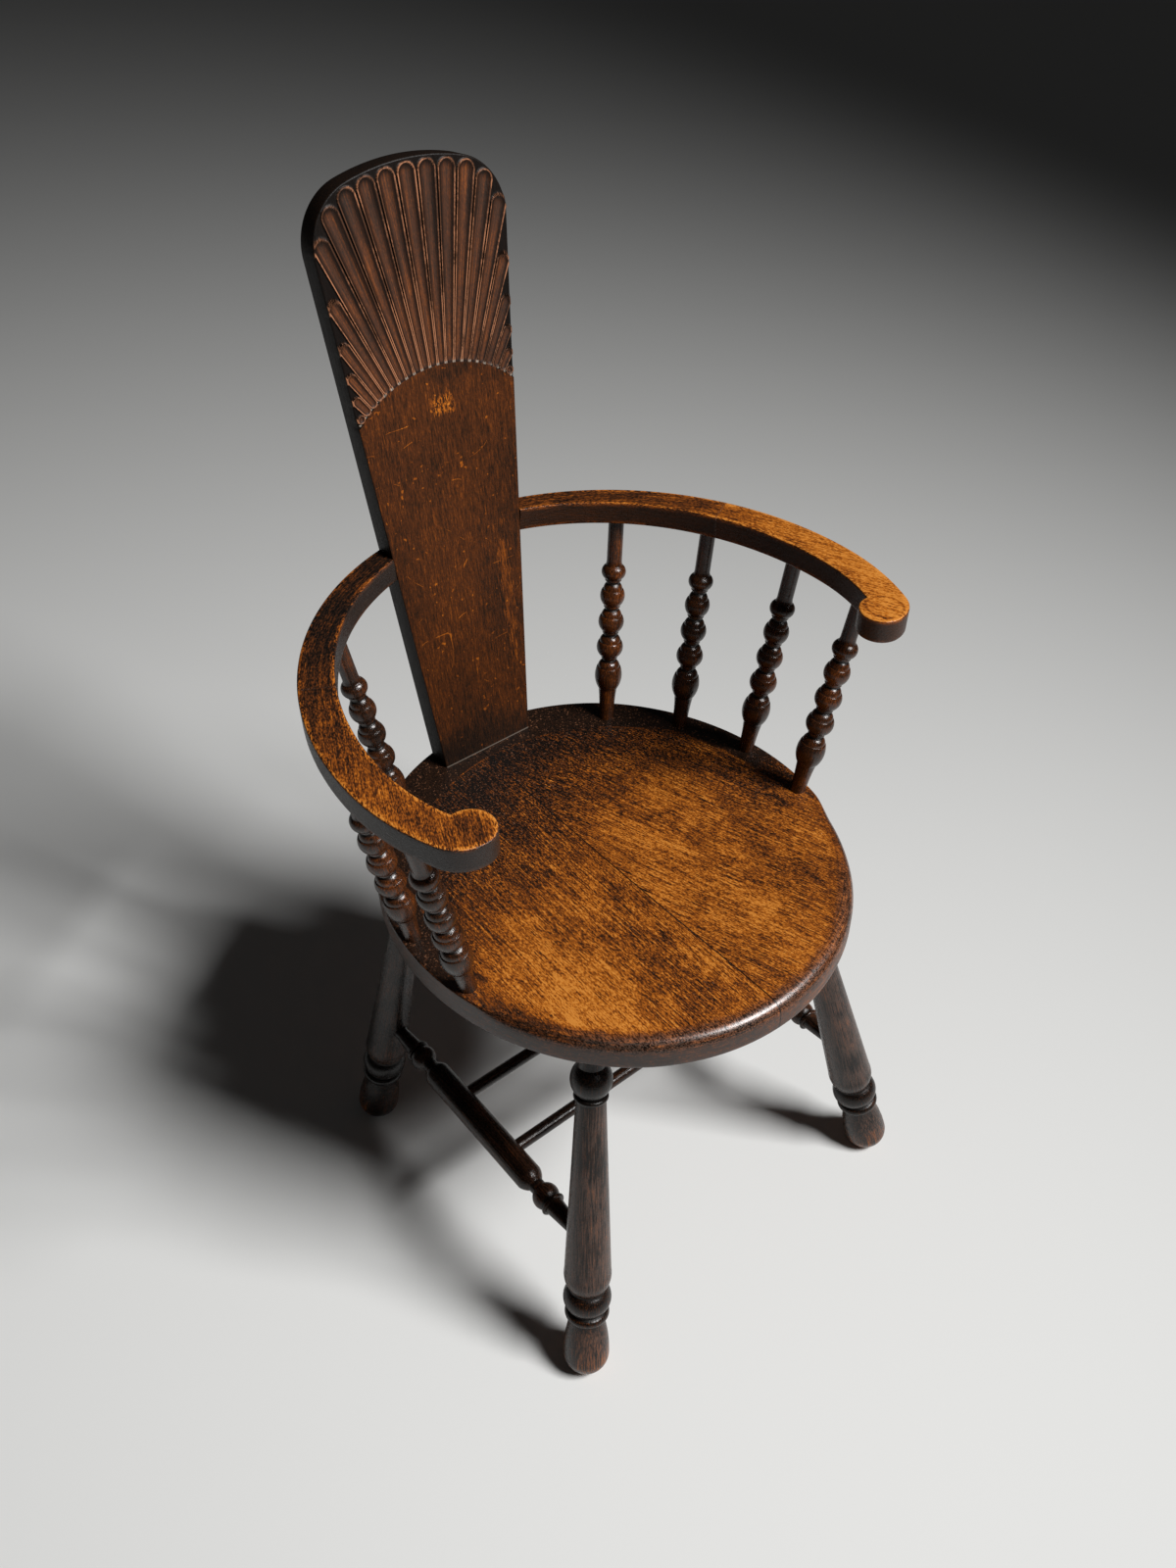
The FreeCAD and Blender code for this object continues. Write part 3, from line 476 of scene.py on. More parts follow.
def named(net, name, kind="FLOAT"):
    return net.node("GeometryNodeInputNamedAttribute", {"data_type": kind}, {0: name})


def stored(net, geometry, name, value, kind="FLOAT"):
    settings = {"data_type": kind, "domain": "POINT"}
    return net.node("GeometryNodeStoreNamedAttribute", settings, {0: geometry, 2: name, 3: value})


# Meshes and objects

def new_piece(name, mesh):
    piece = bpy.data.objects.new(name, mesh)
    bpy.context.scene.collection.objects.link(piece)
    return piece


def piece_from(name, bm):
    mesh = bpy.data.meshes.new(name)
    bm.to_mesh(mesh)
    bm.free()
    return new_piece(name, mesh)


def keep_numbers(mesh, name, values):
    """Stores one number for each point of a mesh."""
    mesh.attributes.new(name, "FLOAT", "POINT").data.foreach_set("value", values)


def made_plain(piece):
    """Turns a piece and its modifiers into a plain mesh."""
    depsgraph = bpy.context.evaluated_depsgraph_get()
    mesh = bpy.data.meshes.new_from_object(piece.evaluated_get(depsgraph))
    mesh.name = piece.name
    old = piece.data
    piece.modifiers.clear()
    piece.data = mesh
    bpy.data.meshes.remove(old)
    return piece


def run_tree(piece, tree, values):
    """Runs a geometry tree on a piece with the given inputs and keeps the result."""
    inputs = [item for item in tree.interface.items_tree if item.in_out == "INPUT"]
    identifiers = {item.name: item.identifier for item in inputs}
    modifier = piece.modifiers.new(tree.name, "NODES")
    modifier.node_group = tree
    for name, value in values.items():
        modifier[identifiers[name]] = value
    return made_plain(piece)


def crease(piece, degrees):
    """Smooth shading, with sharp edges where faces meet at more than the given angle."""
    bm = bmesh.new()
    bm.from_mesh(piece.data)
    limit = math.radians(degrees)
    for face in bm.faces:
        face.smooth = True
    for edge in bm.edges:
        edge.smooth = edge.is_manifold and edge.calc_face_angle(0) < limit
    bm.to_mesh(piece.data)
    bm.free()


def rods_mesh(rods, segments=48):
    """Closed cylinders, each given by its two ends and its radius."""
    bm = bmesh.new()
    for start, end, radius in rods:
        axis = end - start
        turned = axis.to_track_quat("Z", "Y").to_matrix().to_4x4()
        bmesh.ops.create_cone(
            bm,
            cap_ends=True,
            segments=segments,
            radius1=radius,
            radius2=radius,
            depth=axis.length,
            matrix=Matrix.Translation((start + end) / 2) @ turned,
        )
    return bm


def cut(piece, bm):
    """Cuts the closed shapes of a mesh out of a piece."""
    cutter = piece_from(f"{piece.name}_cutter", bm)
    modifier = piece.modifiers.new("cut", "BOOLEAN")
    modifier.operation = "DIFFERENCE"
    modifier.solver = "EXACT"
    modifier.object = cutter
    made_plain(piece)
    mesh = cutter.data
    bpy.data.objects.remove(cutter)
    bpy.data.meshes.remove(mesh)


def bore(piece, rods):
    """Cuts round sockets into a piece."""
    cut(piece, rods_mesh(rods))


def saw(bm, place, normal):
    """Saws a closed mesh along a plane and drops what lies on the normal's side."""
    everything = bm.verts[:] + bm.edges[:] + bm.faces[:]
    bmesh.ops.bisect_plane(
        bm, geom=everything, dist=1e-7, plane_co=place, plane_no=normal, clear_outer=True
    )
    bmesh.ops.edgeloop_fill(bm, edges=[e for e in bm.edges if e.is_boundary])
    bmesh.ops.recalc_face_normals(bm, faces=bm.faces)


def eased_edge(radius, steps=3):
    """Rows of a rounded edge from its face to its side: inset, and depth below the face."""
    angles = [math.pi / 2 * i / steps for i in range(steps + 1)]
    return [(radius * (1 - math.sin(a)), radius * (1 - math.cos(a))) for a in angles]


def stand_in(piece, node):
    """The piece stands for a CAD node, whose mesh it hides, and moves with the chair."""
    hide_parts(node)
    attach(piece, "root")


def bridge(bm, first, second):
    """Joins two closed loops of vertices of the same count with faces."""
    count = len(first)
    for i in range(count):
        j = (i + 1) % count
        bm.faces.new((first[i], first[j], second[j], second[i]))


# Finishes

def oak(name, dress, gloss):
    """A finish from a function that gives colour, roughness, relief in metres and any varnish."""
    if name in bpy.data.materials:
        return bpy.data.materials[name]
    material = bpy.data.materials.new(name)
    material.use_nodes = True
    net = Net(material.node_tree)
    net.tree.nodes.clear()
    base, roughness, relief, *varnish = dress(net, chair("oak"))
    bump = net.node("ShaderNodeBump", None, {"Strength": 1.0, "Distance": 1.0, "Height": relief})
    sockets = {"Base Color": base, "Roughness": roughness, "Normal": bump}
    sockets["Specular IOR Level"] = gloss
    if varnish:
        sockets |= {"Coat Weight": varnish[0], "Coat Roughness": 0.30}
    shader = net.node("ShaderNodeBsdfPrincipled", None, sockets)
    output = net.tree.nodes.new("ShaderNodeOutputMaterial")
    net.tree.links.new(shader.socket, output.inputs["Surface"])
    return material


def object_place(net):
    return net.node("ShaderNodeTexCoord", out="Object")


def attribute(net, name, out="Fac"):
    return net.node("ShaderNodeAttribute", {"attribute_name": name}, out=out)


def blob(net, place, middle, radii):
    """Distance from a middle point, measured in the radii of an ellipsoid."""
    offset = net.vectors("SUBTRACT", place, middle)
    scaled = net.vectors("DIVIDE", offset, radii)
    return net.node("ShaderNodeVectorMath", {"operation": "LENGTH"}, {0: scaled}, out=1)


def facings(net):
    """How far a surface faces along X, Y and Z, from -1 to 1."""
    return net.parts(net.node("ShaderNodeNewGeometry", out="Normal"))


def patina(net, tones, wear):
    """Colour of the polished oak, from black dirt at 0 to bare wood at 1."""
    return net.ramp(wear, (
        (0.00, tones.black_dirt_and_shade),
        (0.22, tones.stain),
        (0.42, tones.russet),
        (0.62, tones.amber),
        (0.84, tones.honey),
        (1.00, tones.bare),
    ))


def flecks(net, grain):
    """Oak's short dashes, above and below 0, along the Z axis of the grain vector."""
    return (net.fade(net.noise(grain, 980, 330, 2.0, 0.6), 0.32, 0.68) - 0.5) * 0.5


def fibres(net, grain):
    """Long fine streaks, above and below 0."""
    return net.noise(grain, 900, 18, 2.0, 0.6, 0.3) - 0.5


def clouds(net, grain, size):
    """Soft patches of about the given size in metres, above and below 0."""
    return net.noise(grain, 1 / size, 0.6 / size, 4.0, 0.6) - 0.5


def pores(net, grain):
    """Fine dark pores from 0 to 1."""
    return net.fade(net.noise(grain, 900, 90, 1.0, 0.5), 0.60, 0.70)


def scratches(net, place, spread):
    """Thin curved scratches from 0 to 1, broken into short runs."""
    level = net.noise(place, spread, spread, 0.0) - 0.5
    line = 1 - net.fade(abs(level), 0.0008, 0.0045)
    return line * net.fade(net.noise(place, spread * 3.1, spread * 3.1, 1.0), 0.56, 0.62)


def dress_seat(net, tones):
    """Seat: worn to amber in the middle and front, black round the spindles and behind; a grey
    painted sheen on its side and a pale painted highlight along its nose.
    """
    seat = chair("seat")
    place = object_place(net)
    x, y, z = net.parts(place)
    y = y - SEAT_MIDDLE.y
    turned = net.fade(x, seat.seam - 0.0005, seat.seam + 0.0005)
    grain = net.joined(x + y * turned * 0.3, z + turned * 0.4, y + x * (0.05 - turned * 0.35))
    fine, long = flecks(net, grain), fibres(net, grain)
    broad, patches = clouds(net, grain, 0.09), clouds(net, grain, 0.030)
    mottle = net.noise(grain, 230, 110, 3.0, 0.7) - 0.5
    ragged = broad * 0.10 + patches * 0.06 + mottle * 0.05
    ring = net.distance(x, y)
    wear = 0.64 - 0.50 * net.fade(y - x * 0.45 + ragged, -0.02, 0.175)
    wear = wear - 0.20 * net.fade(ring + ragged, 0.115, 0.17) * net.fade(y, -0.10, 0.0)
    wear = wear + 0.05 * net.fade(-y, 0.04, 0.16) - 0.07 * net.fade(x, 0.02, 0.12)
    wear = wear + 0.20 * net.fade(-x, 0.08, 0.15) * (1 - net.fade(y + ragged, 0.01, 0.09))
    dark = 1 - net.fade(wear, 0.25, 0.60)
    drawn = net.noise(grain, 480, 42, 3.0, 0.65) - 0.5
    wear = wear + broad * 0.70 + patches * 0.90 + mottle * 0.8 + long * 1.1 + drawn * 1.0
    wear = wear + fine * (1.0 + dark * 0.8)
    seam = abs(x - seat.seam)
    streaks = net.fade(net.noise(grain, 430, 16, 1.0, 0.5, 0.4), 0.57, 0.66)
    streaks = streaks * (1 - net.fade(seam + ragged * 0.5, 0.02, 0.055))
    wear = wear - streaks * net.fade(patches, -0.06, 0.06) * 0.30
    dish = seat.half_width - seat.dish_inset
    behind = net.fade(y - x * 0.10 + ragged * 1.5, -0.06, -0.015)
    band = net.fade(ring + ragged * 0.25, dish - 0.002, dish + 0.004) * behind
    wear = wear + (0.13 + fine * 0.5 + mottle * 0.3 - wear) * band
    ridge = (1 - net.fade(abs(ring - dish + 0.001), 0.0004, 0.0016)) * behind
    wear = wear + ridge * net.fade(patches, -0.02, 0.08) * 0.3
    up = facings(net)[2]
    rim = net.maths("SQRT", x * x + y * y * (seat.half_width / seat.half_depth) ** 2)
    corner = blob(net, net.joined(x, y, 0.0), (-0.178, -0.075, 0.0), (0.045, 0.075, 1.0))
    crust = net.fade(rim + ragged * 0.5, seat.half_width - 0.030, seat.half_width - 0.012)
    crust = crust * (1 - net.fade(corner + mottle * 2 + patches, 0.55, 1.0))
    crust = crust * net.fade(mottle + drawn + fine * 0.4 + patches, -0.14, 0.02)
    wear = wear + (0.20 + fine * 1.6 + mottle * 1.0 - wear) * crust
    nose = 1 - net.fade(up + mottle * 0.06, 0.80, 0.985)
    around = net.joined(z, ring, net.maths("ARCTAN2", y, x) * 0.22)
    lines = fibres(net, around)
    right = net.fade(x, -0.12, 0.06)
    rounded = net.fade(rim + mottle * 0.012, seat.half_width - 0.017, seat.half_width - 0.009)
    nose = net.most(nose, rounded * net.fade(-y, 0.06, 0.13) * 0.75)
    worn = 0.28 + right * 0.13 + lines * 1.0 + patches * 0.6 + mottle * 0.7 + fine * 0.7
    wear = wear + (worn - wear) * nose
    base = patina(net, tones, wear)
    # Grey painted sheen on the seat's side, greyest at negative X.
    side = 1 - net.fade(up, 0.05, 0.5)
    base = net.mix(side * (0.32 - right * 0.20), base, tones.ash_and_sheen)
    # Pale painted highlight along the front nose; the same mask sets the varnish.
    shine = nose * (1 - side) * net.fade(mottle + fine, -0.2, 0.1)
    base = net.mix(shine * net.fade(-y, 0.12, 0.19) * 0.08, base, tones.dust_and_highlight)
    specks = net.fade(net.noise(place, 420, 420, 2.0, 0.7), 0.61, 0.68)
    specks = specks * (1 - net.fade(wear, 0.10, 0.45)) * (0.5 - side * 0.25)
    base = net.mix(specks, base, tones.copper)
    base = net.mix(net.fade(seam, 0.0002, 0.0011), tones.black_dirt_and_shade, base)
    roughness = 0.38 + fine * 0.3 - nose * 0.08 + side * 0.10
    relief = (fine * 0.0003 + mottle * 0.0003) * (1 - nose * 0.75)
    return base, roughness, relief, shine


def dress_splat(net, tones):
    """Splat: dark red-brown with upright grain, scratched; coppery lips on the carving; painted
    shade in and between the flutes and on the sides; painted highlights at the ridges' ends.
    """
    splat, fan = chair("splat"), chair("fan")
    place = object_place(net)
    x, _, z = net.parts(place)
    height = (z - SEAT_HIGH.z) / math.cos(splat.lean)
    face = net.joined(x, 0.0, height)
    fine, long, broad = flecks(net, place), fibres(net, place), clouds(net, place, 0.06)
    behind = facings(net)[1]
    front, back = net.fade(-behind, 0.5, 0.8), net.fade(behind, 0.5, 0.8)
    wear = 0.335 + broad * 0.35 + long * 0.65 + fine * 0.25
    streak = blob(net, face, (0.046, 0.0, 0.165), (0.008, 1.0, 0.075))
    wear = wear + (1 - net.fade(streak - long * 3, 0.3, 1.1)) * front * 0.16
    across = abs((x - 0.003) / 0.0135)
    box = net.most(across, abs((height - 0.364) / 0.011))
    scraped = (1 - net.fade(box + fine * 1.5, 0.7, 1.1)) * net.fade(long + fine, -0.02, 0.10)
    ground, lip, channel = [attribute(net, name) * front for name in ("ground", "lip", "channel")]
    carved = net.fade(lip + ground + channel, 0.01, 0.1)
    marks = scraped * 0.40 + scratches(net, place, 21.0) * 0.32
    marks = marks + net.fade(net.noise(place, 190, 190, 1.0), 0.70, 0.76) * 0.30
    stain = blob(net, face, (0.008, 0.0, 0.389), (0.032, 1.0, 0.011))
    stained = 1 - net.fade(stain + broad, 0.5, 1.1)
    wear = wear + (marks * (1 - carved * 0.8) - stained * 0.09) * front
    wear = wear - (1 - net.fade(height + broad * 0.03, 0.004, 0.05)) * 0.16
    # Painted shade: the splat's sides, facing neither front nor back, are painted near black.
    wear = wear + (0.06 + fine * 0.3 - wear) * (1 - front) * (1 - back)
    rise = height - (splat.height - fan.drop)
    radius = net.distance(x, rise)
    angle = net.maths("ARCTAN2", x, rise)
    rays = net.joined(angle * 0.2, 0.0, radius)
    rubbed = 0.05 + fibres(net, rays) * 0.8 + clouds(net, rays, 0.03) * 0.5 - long * 0.65
    wear = wear + rubbed * carved
    base = patina(net, tones, wear)
    # Grey painted sheen over the carving.
    base = net.mix(carved * 0.24, base, tones.ash_and_sheen)
    # Painted shade inside each flute along its lips, fading towards the flute's middle.
    shade = net.fade(channel, 0.08, 0.85)
    base = net.mix(carved * (1 - shade) * 0.90, base, tones.black_dirt_and_shade)
    # Painted shade in the sunk ground between the flutes.
    base = net.mix(ground * 0.75, base, tones.black_dirt_and_shade)
    worn = net.fade(clouds(net, place, 0.022) + broad + fine * 0.3, -0.12, 0.14)
    base = net.mix(lip * (0.20 + worn * 0.80), base, tones.copper)
    # Pale painted highlights on the ridges' lower ends at the arc, and a pale dust line along the
    # splat's foot.
    between = net.fade(-net.maths("COSINE", angle * (math.tau / fan.pitch)), 0.3, 0.8)
    point = 1 - net.fade(abs(radius - fan.arc - 0.0012), 0.0005, 0.0014)
    point = point * between * net.fade(rise, 0.0, 0.01)
    joint = (1 - net.fade(height, 0.0006, 0.0018)) * 0.4
    base = net.mix(net.most(point * 0.8, joint) * front, base, tones.dust_and_highlight)
    roughness = 0.46 + long * 0.3
    relief = long * 0.0002 + fine * 0.00012
    return base, roughness, relief


def dress_arm(net, tones):
    """Arms: nearly black at the splat, worn to honey towards the scrolls, with a grey painted sheen
    on the sides of the arm at negative X.
    """
    arm = chair("arm")
    place = object_place(net)
    x, y, z = net.parts(place)
    side = net.fade(x, -0.001, 0.001)
    aside = abs(x)
    y = y - (SEAT_MIDDLE.y + arm.centre)
    angle = net.maths("ARCTAN2", y, aside)
    out = net.distance(x, y)
    hoop = net.joined(out, z + side * 0.7, angle * 0.235)
    slant = math.radians(24)
    across = aside * math.cos(slant) + y * math.sin(slant)
    forward = y * math.cos(slant) - aside * math.sin(slant)
    board = net.joined(across, z + side * 0.7, forward)
    scarf = net.fade(angle, 0.50, 0.51)
    grain = net.node("ShaderNodeMix", {"data_type": "VECTOR"}, {0: scarf, 4: board, 5: hoop}, out=1)
    fine, long = flecks(net, grain), fibres(net, grain)
    broad, patches = clouds(net, grain, 0.06), clouds(net, grain, 0.018)
    wear = 0.20 + 0.46 * (1 - net.fade(angle + broad * 0.9, -0.25, 1.0))
    wear = wear + side * (0.16 + (1 - scarf) * 0.10) - (1 - side) * 0.08
    drawn = net.noise(grain, 420, 60, 2.0, 0.6) - 0.5
    wear = wear + broad * 0.5 + patches * 0.45 + fine * 0.85 + long * 0.8 + drawn * 0.7
    inner = (1 - net.fade(out + patches * 0.03, 0.229, 0.241)) * (1 - net.fade(angle, 0.1, 0.4))
    wear = wear - side * inner * 0.15
    eye = blob(net, net.joined(aside, y, 0.0), (0.215, -0.085, 0.0), (0.019, 0.021, 1.0))
    eye = eye + patches * 0.3
    ring = 1 - net.fade(abs(eye - 0.80), 0.03, 0.10)
    streaks = net.fade(net.noise(board, 300, 50, 1.0, 0.5, 0.6), 0.55, 0.62)
    ring = ring + streaks * (1 - net.fade(eye, 0.5, 0.75))
    wear = wear - side * ring * 0.20 - (1 - side) * (1 - net.fade(eye, 0.4, 1.0)) * 0.20
    top = net.fade(facings(net)[2], 0.45, 0.9)
    wear = wear + (0.07 + side * 0.19 + long * 0.4 + broad * 0.3 - wear) * (1 - top)
    edge = attribute(net, "edge")
    wear = wear + edge * net.fade(patches + fine * 0.5, -0.10, 0.08) * 0.34
    base = patina(net, tones, wear)
    # Grey painted sheen on the sides of the arm at negative X.
    base = net.mix((1 - top) * (1 - side) * 0.12, base, tones.ash_and_sheen)
    roughness = 0.34 + top * 0.04 + fine * 0.3
    relief = fine * 0.0003 + patches * 0.0002
    return base, roughness, relief


def dress_turned(net, tones, level, streaky, dull):
    """Turned wood: black in the grooves, darker on the legs' rings and ball for dark polish and
    painted shade, stained and worn on the swells, with a grey painted sheen on the legs and painted
    shade on the rear legs.
    """
    grain = attribute(net, "grain", "Vector")
    groove, shade = attribute(net, "groove"), attribute(net, "shade")
    fine, long, patches = flecks(net, grain), fibres(net, grain), clouds(net, grain, 0.03)
    broad = clouds(net, grain, 0.12)
    # The shade attribute marks the legs' rings and ball, darkened for dark polish and painted
    # shade.
    wear = level + long * streaky + fine * 0.35 + patches * 0.6 + broad * 0.5 - shade * 0.20
    _, y, height = net.parts(object_place(net))
    foot = 1 - net.fade(height + patches * 0.05, 0.012, 0.06)
    foot = foot * net.fade(patches + long, -0.10, 0.12)
    # Painted shade: the rear legs are painted darker, as they stand in shadow.
    rear = net.fade(y, 0.02, 0.12) * dull
    wear = wear + foot * 0.24 - rear * 0.25
    base = patina(net, tones, wear)
    # Grey painted sheen with some dull grey wood, kept off the shaded heights, the rear legs and
    # the feet.
    dull_grey_and_sheen = (1 - shade) * dull * (1 - rear) * (1 - foot * 0.7)
    base = net.mix(dull_grey_and_sheen * net.fade(long + patches, -0.15, 0.10), base, tones.ash_and_sheen)
    base = net.mix(pores(net, grain) * 0.7, base, tones.black_dirt_and_shade)
    base = net.mix(net.fade(groove, 0.05, 0.6) * 0.9, base, tones.black_dirt_and_shade)
    marks = net.noise(grain, 12, 1300, 1.0, 0.6)
    roughness = 0.24 + dull * 0.11 + fine * 0.3 + groove * 0.15
    relief = long * 0.00016 + fine * 0.00008 + marks * 0.00009
    return base, roughness, relief


dress_spindle = partial(dress_turned, level=0.30, streaky=0.7, dull=0.0)
dress_leg = partial(dress_turned, level=0.28, streaky=1.5, dull=0.55)
dress_stretcher = partial(dress_turned, level=0.19, streaky=1.0, dull=0.1)


def dress_hidden(net, tones):
    """Dowels and wedges: clean oak that polish never reached."""
    place = object_place(net)
    wear = 0.78 + fibres(net, place) * 0.5 + clouds(net, place, 0.02) * 0.5
    base = net.mix(pores(net, place) * 0.6, patina(net, tones, wear), tones.russet)
    return base, 0.6 + flecks(net, place) * 0.3, flecks(net, place) * 0.0002


# Turned pieces

class Turning:
    """Half outline of a turned piece, drawn up from its bottom end: radius against height."""

    STEP = 2.5 * MM
    ARC_STEP = math.radians(7)
    EASE = 0.35 * MM
    SHARP = math.radians(20)
    LEAST_RISE = 0.01 * MM
    GROOVE_REACH = 7 * MM
    GROOVE_DEPTH = 4 * MM

    def __init__(self, radius, height):
        self.points = [Vector((radius, height))]

    def line(self, radius, rise):
        self.line_to(radius, self.points[-1].y + rise)

    def line_to(self, radius, height):
        start = self.points[-1]
        end = Vector((radius, height))
        count = max(1, math.ceil((end - start).length / self.STEP))
        self.points += [start.lerp(end, i / count) for i in range(1, count + 1)]

    def arc(self, mid_radius, mid_rise, radius, rise):
        """An arc through a middle point."""
        start = self.points[-1]
        middle = Vector((mid_radius, start.y + mid_rise)) - start
        end = Vector((radius, start.y + rise)) - start
        cross = 2 * (middle.x * end.y - middle.y * end.x)
        centre = Vector((
            (end.y * middle.length_squared - middle.y * end.length_squared) / cross,
            (middle.x * end.length_squared - end.x * middle.length_squared) / cross,
        ))
        first = math.atan2(-centre.y, -centre.x)
        last = math.atan2(end.y - centre.y, end.x - centre.x)
        sweep = (last - first) % math.tau
        if cross < 0:
            sweep -= math.tau
        count = max(4, math.ceil(abs(sweep) / self.ARC_STEP))
        for i in range(1, count + 1):
            angle = first + sweep * i / count
            offset = Vector((math.cos(angle), math.sin(angle))) * centre.length
            self.points.append(start + centre + offset)

    def bulge(self, mid_radius, radius, rise):
        self.arc(mid_radius, rise / 2, radius, rise)

    def mirrored(self, height):
        """Adds the outline's mirror image above a height."""
        self.points += [Vector((p.x, 2 * height - p.y)) for p in reversed(self.points[:-1])]

    def eased(self):
        """The outline with its corners slightly rounded, as wear leaves them."""
        made = [self.points[0]]
        for before, corner, after in zip(self.points, self.points[1:], self.points[2:]):
            into = corner - before
            out = after - corner
            if into.angle(out, 0) < self.SHARP:
                made.append(corner)
                continue
            start = corner - into.normalized() * min(self.EASE, into.length * 0.45)
            end = corner + out.normalized() * min(self.EASE, out.length * 0.45)
            for i in range(4):
                s = i / 3
                made.append(start.lerp(corner, s).lerp(corner.lerp(end, s), s))
        made.append(self.points[-1])
        return made

    def grooves(self, points):
        """How deep each point lies between its neighbours' swells, from 0 to 1."""
        made = []
        for point in points:
            near = [p for p in points if abs(p.y - point.y) < self.GROOVE_REACH]
            above = max(p.x for p in near if p.y >= point.y)
            below = max(p.x for p in near if p.y <= point.y)
            depth = (min(above, below) - point.x) / self.GROOVE_DEPTH
            made.append(max(0.0, min(1.0, depth)))
        return made

    def line_mesh(self, name, dark):
        """The eased outline as a line on Z that keeps its radius, grooves and dark heights."""
        points = self.eased()
        mesh = bpy.data.meshes.new(name)
        edges = [(i, i + 1) for i in range(len(points) - 1)]
        mesh.from_pydata([(0, 0, p.y) for p in points], edges, [])
        for below, vertex in zip(mesh.vertices, mesh.vertices[1:]):
            if vertex.co.z - below.co.z < self.LEAST_RISE:
                vertex.co.z = below.co.z + self.LEAST_RISE
        shade = [float(any(low < p.y < high for low, high in dark)) for p in points]
        keep_numbers(mesh, "turning", [p.x for p in points])
        keep_numbers(mesh, "groove", self.grooves(points))
        keep_numbers(mesh, "shade", shade)
        return mesh


def turning_tree():
    """Geometry tree that turns an outline along the line from foot to head."""
    if "turning" in bpy.data.node_groups:
        return bpy.data.node_groups["turning"]
    net, given = new_tree("turning", (
        ("Outline", "Geometry"),
        ("Sides", "Int"),
        ("Foot", "Vector"),
        ("Head", "Vector"),
        ("Figure", "Vector"),
        ("Finish", "Material"),
    ))
    curve = net.node("GeometryNodeMeshToCurve", None, {0: given.out("Outline")})
    circle_sockets = {"Resolution": given.out("Sides"), "Radius": 1.0}
    circle = net.node("GeometryNodeCurvePrimitiveCircle", None, circle_sockets)
    sweep = {0: curve, 1: circle, 2: named(net, "turning"), 3: True}
    turned = net.node("GeometryNodeCurveToMesh", None, sweep)
    position = net.node("GeometryNodeInputPosition")
    figure = net.vectors("ADD", position, given.out("Figure"))
    turned = stored(net, turned, "grain", figure, "FLOAT_VECTOR")
    axis = net.vectors("SUBTRACT", given.out("Head"), given.out("Foot"))
    lean = net.node("FunctionNodeAlignRotationToVector", {"axis": "Z"}, {"Vector": axis})
    place = {0: turned, "Translation": given.out("Foot"), "Rotation": lean}
    placed = net.node("GeometryNodeTransform", None, place)
    x, y, z = net.parts(net.node("GeometryNodeInputPosition"))
    on_floor = net.joined(x, y, net.most(z, 0.0))
    placed = net.node("GeometryNodeSetPosition", None, {0: placed, 2: on_floor})
    smooth = net.node("GeometryNodeSetShadeSmooth", None, {0: placed, 2: True})
    close_tree(net, smooth, given.out("Finish"))
    return net.tree


def turned_piece(node, outline, ends, sign, figure, finish, sides=64, dark=()):
    """Turns one outline from foot to head; between each pair of dark heights the wood is painted
    darker, for dark polish and painted shade.
    """
    name = f"{node}_turned"
    foot, head = [on_side(end, sign) for end in ends]
    values = {"Sides": sides, "Foot": foot, "Head": head, "Figure": figure, "Finish": finish}
    return run_tree(new_piece(name, outline.line_mesh(name, dark)), turning_tree(), values)


# Layout shared by several pieces, in the chair's frame

def seat_point(x, y, z):
    """A point measured from the seat's middle, in the chair's frame."""
    return Vector((x, y + SEAT_MIDDLE.y, z))


def splat_point(x, height, depth):
    """A point of the splat: across, up its face, and from its face to its back."""
    seat, splat = chair("seat"), chair("splat")
    up, back = math.cos(splat.lean), math.sin(splat.lean)
    y = seat.half_depth - splat.inset + height * back + depth * up
    return seat_point(x, y, seat.top + height * up - depth * back)


def splat_half_width(height):
    splat = chair("splat")
    return splat.foot_half_width + math.tan(splat.flare) * height


def splat_depth(height):
    splat = chair("splat")
    return splat.thickness + (splat.top_thickness - splat.thickness) * height / splat.height


def arm_point(x, y, depth):
    """A point of the arm's tilted plan, the given depth below its top."""
    seat, arm = chair("seat"), chair("arm")
    return seat_point(
        x,
        y * math.cos(arm.tilt) + depth * math.sin(arm.tilt),
        seat.top + arm.rise + y * math.sin(arm.tilt) - depth * math.cos(arm.tilt),
    )


def splat_height_at_arms():
    seat, splat, arm = chair("seat"), chair("splat"), chair("arm")
    face = seat.half_depth - splat.inset
    level = arm.rise - arm.thickness / 2 + face * math.tan(arm.tilt)
    return level / (math.cos(splat.lean) - math.sin(splat.lean) * math.tan(arm.tilt))


def arm_axes(across):
    """Side, front and back half axes of a line of the hoop, from 0 at its outer edge to 1."""
    seat, arm = chair("seat"), chair("arm")
    side = seat.half_width + arm.overhang - arm.width * across
    front = arm.reach - arm.width * across
    inner_side = seat.half_width + arm.overhang - arm.width
    height = splat_height_at_arms()
    face = splat_point(0, height, 0).y - SEAT_MIDDLE.y
    run = splat_half_width(height) / inner_side
    back = (face - arm.centre) / math.sqrt(1 - run ** 2) + arm.back_width * (1 - across)
    return side, front, back


def arm_plan(across, angle):
    """A point of the left arm's plan at an angle round the hoop: 0 at the side, up to the back."""
    arm = chair("arm")
    side, front, back = arm_axes(across)
    axis = back if angle > 0 else front
    return Vector((side * math.cos(angle), arm.centre + axis * math.sin(angle)))


def on_side(point, sign):
    """A point of the left side, or its mirror image where the sign is -1."""
    return Vector((point.x * sign, point.y, point.z))


def rods_on_side(rods, sign):
    return [(on_side(start, sign), on_side(end, sign), radius) for start, end, radius in rods]


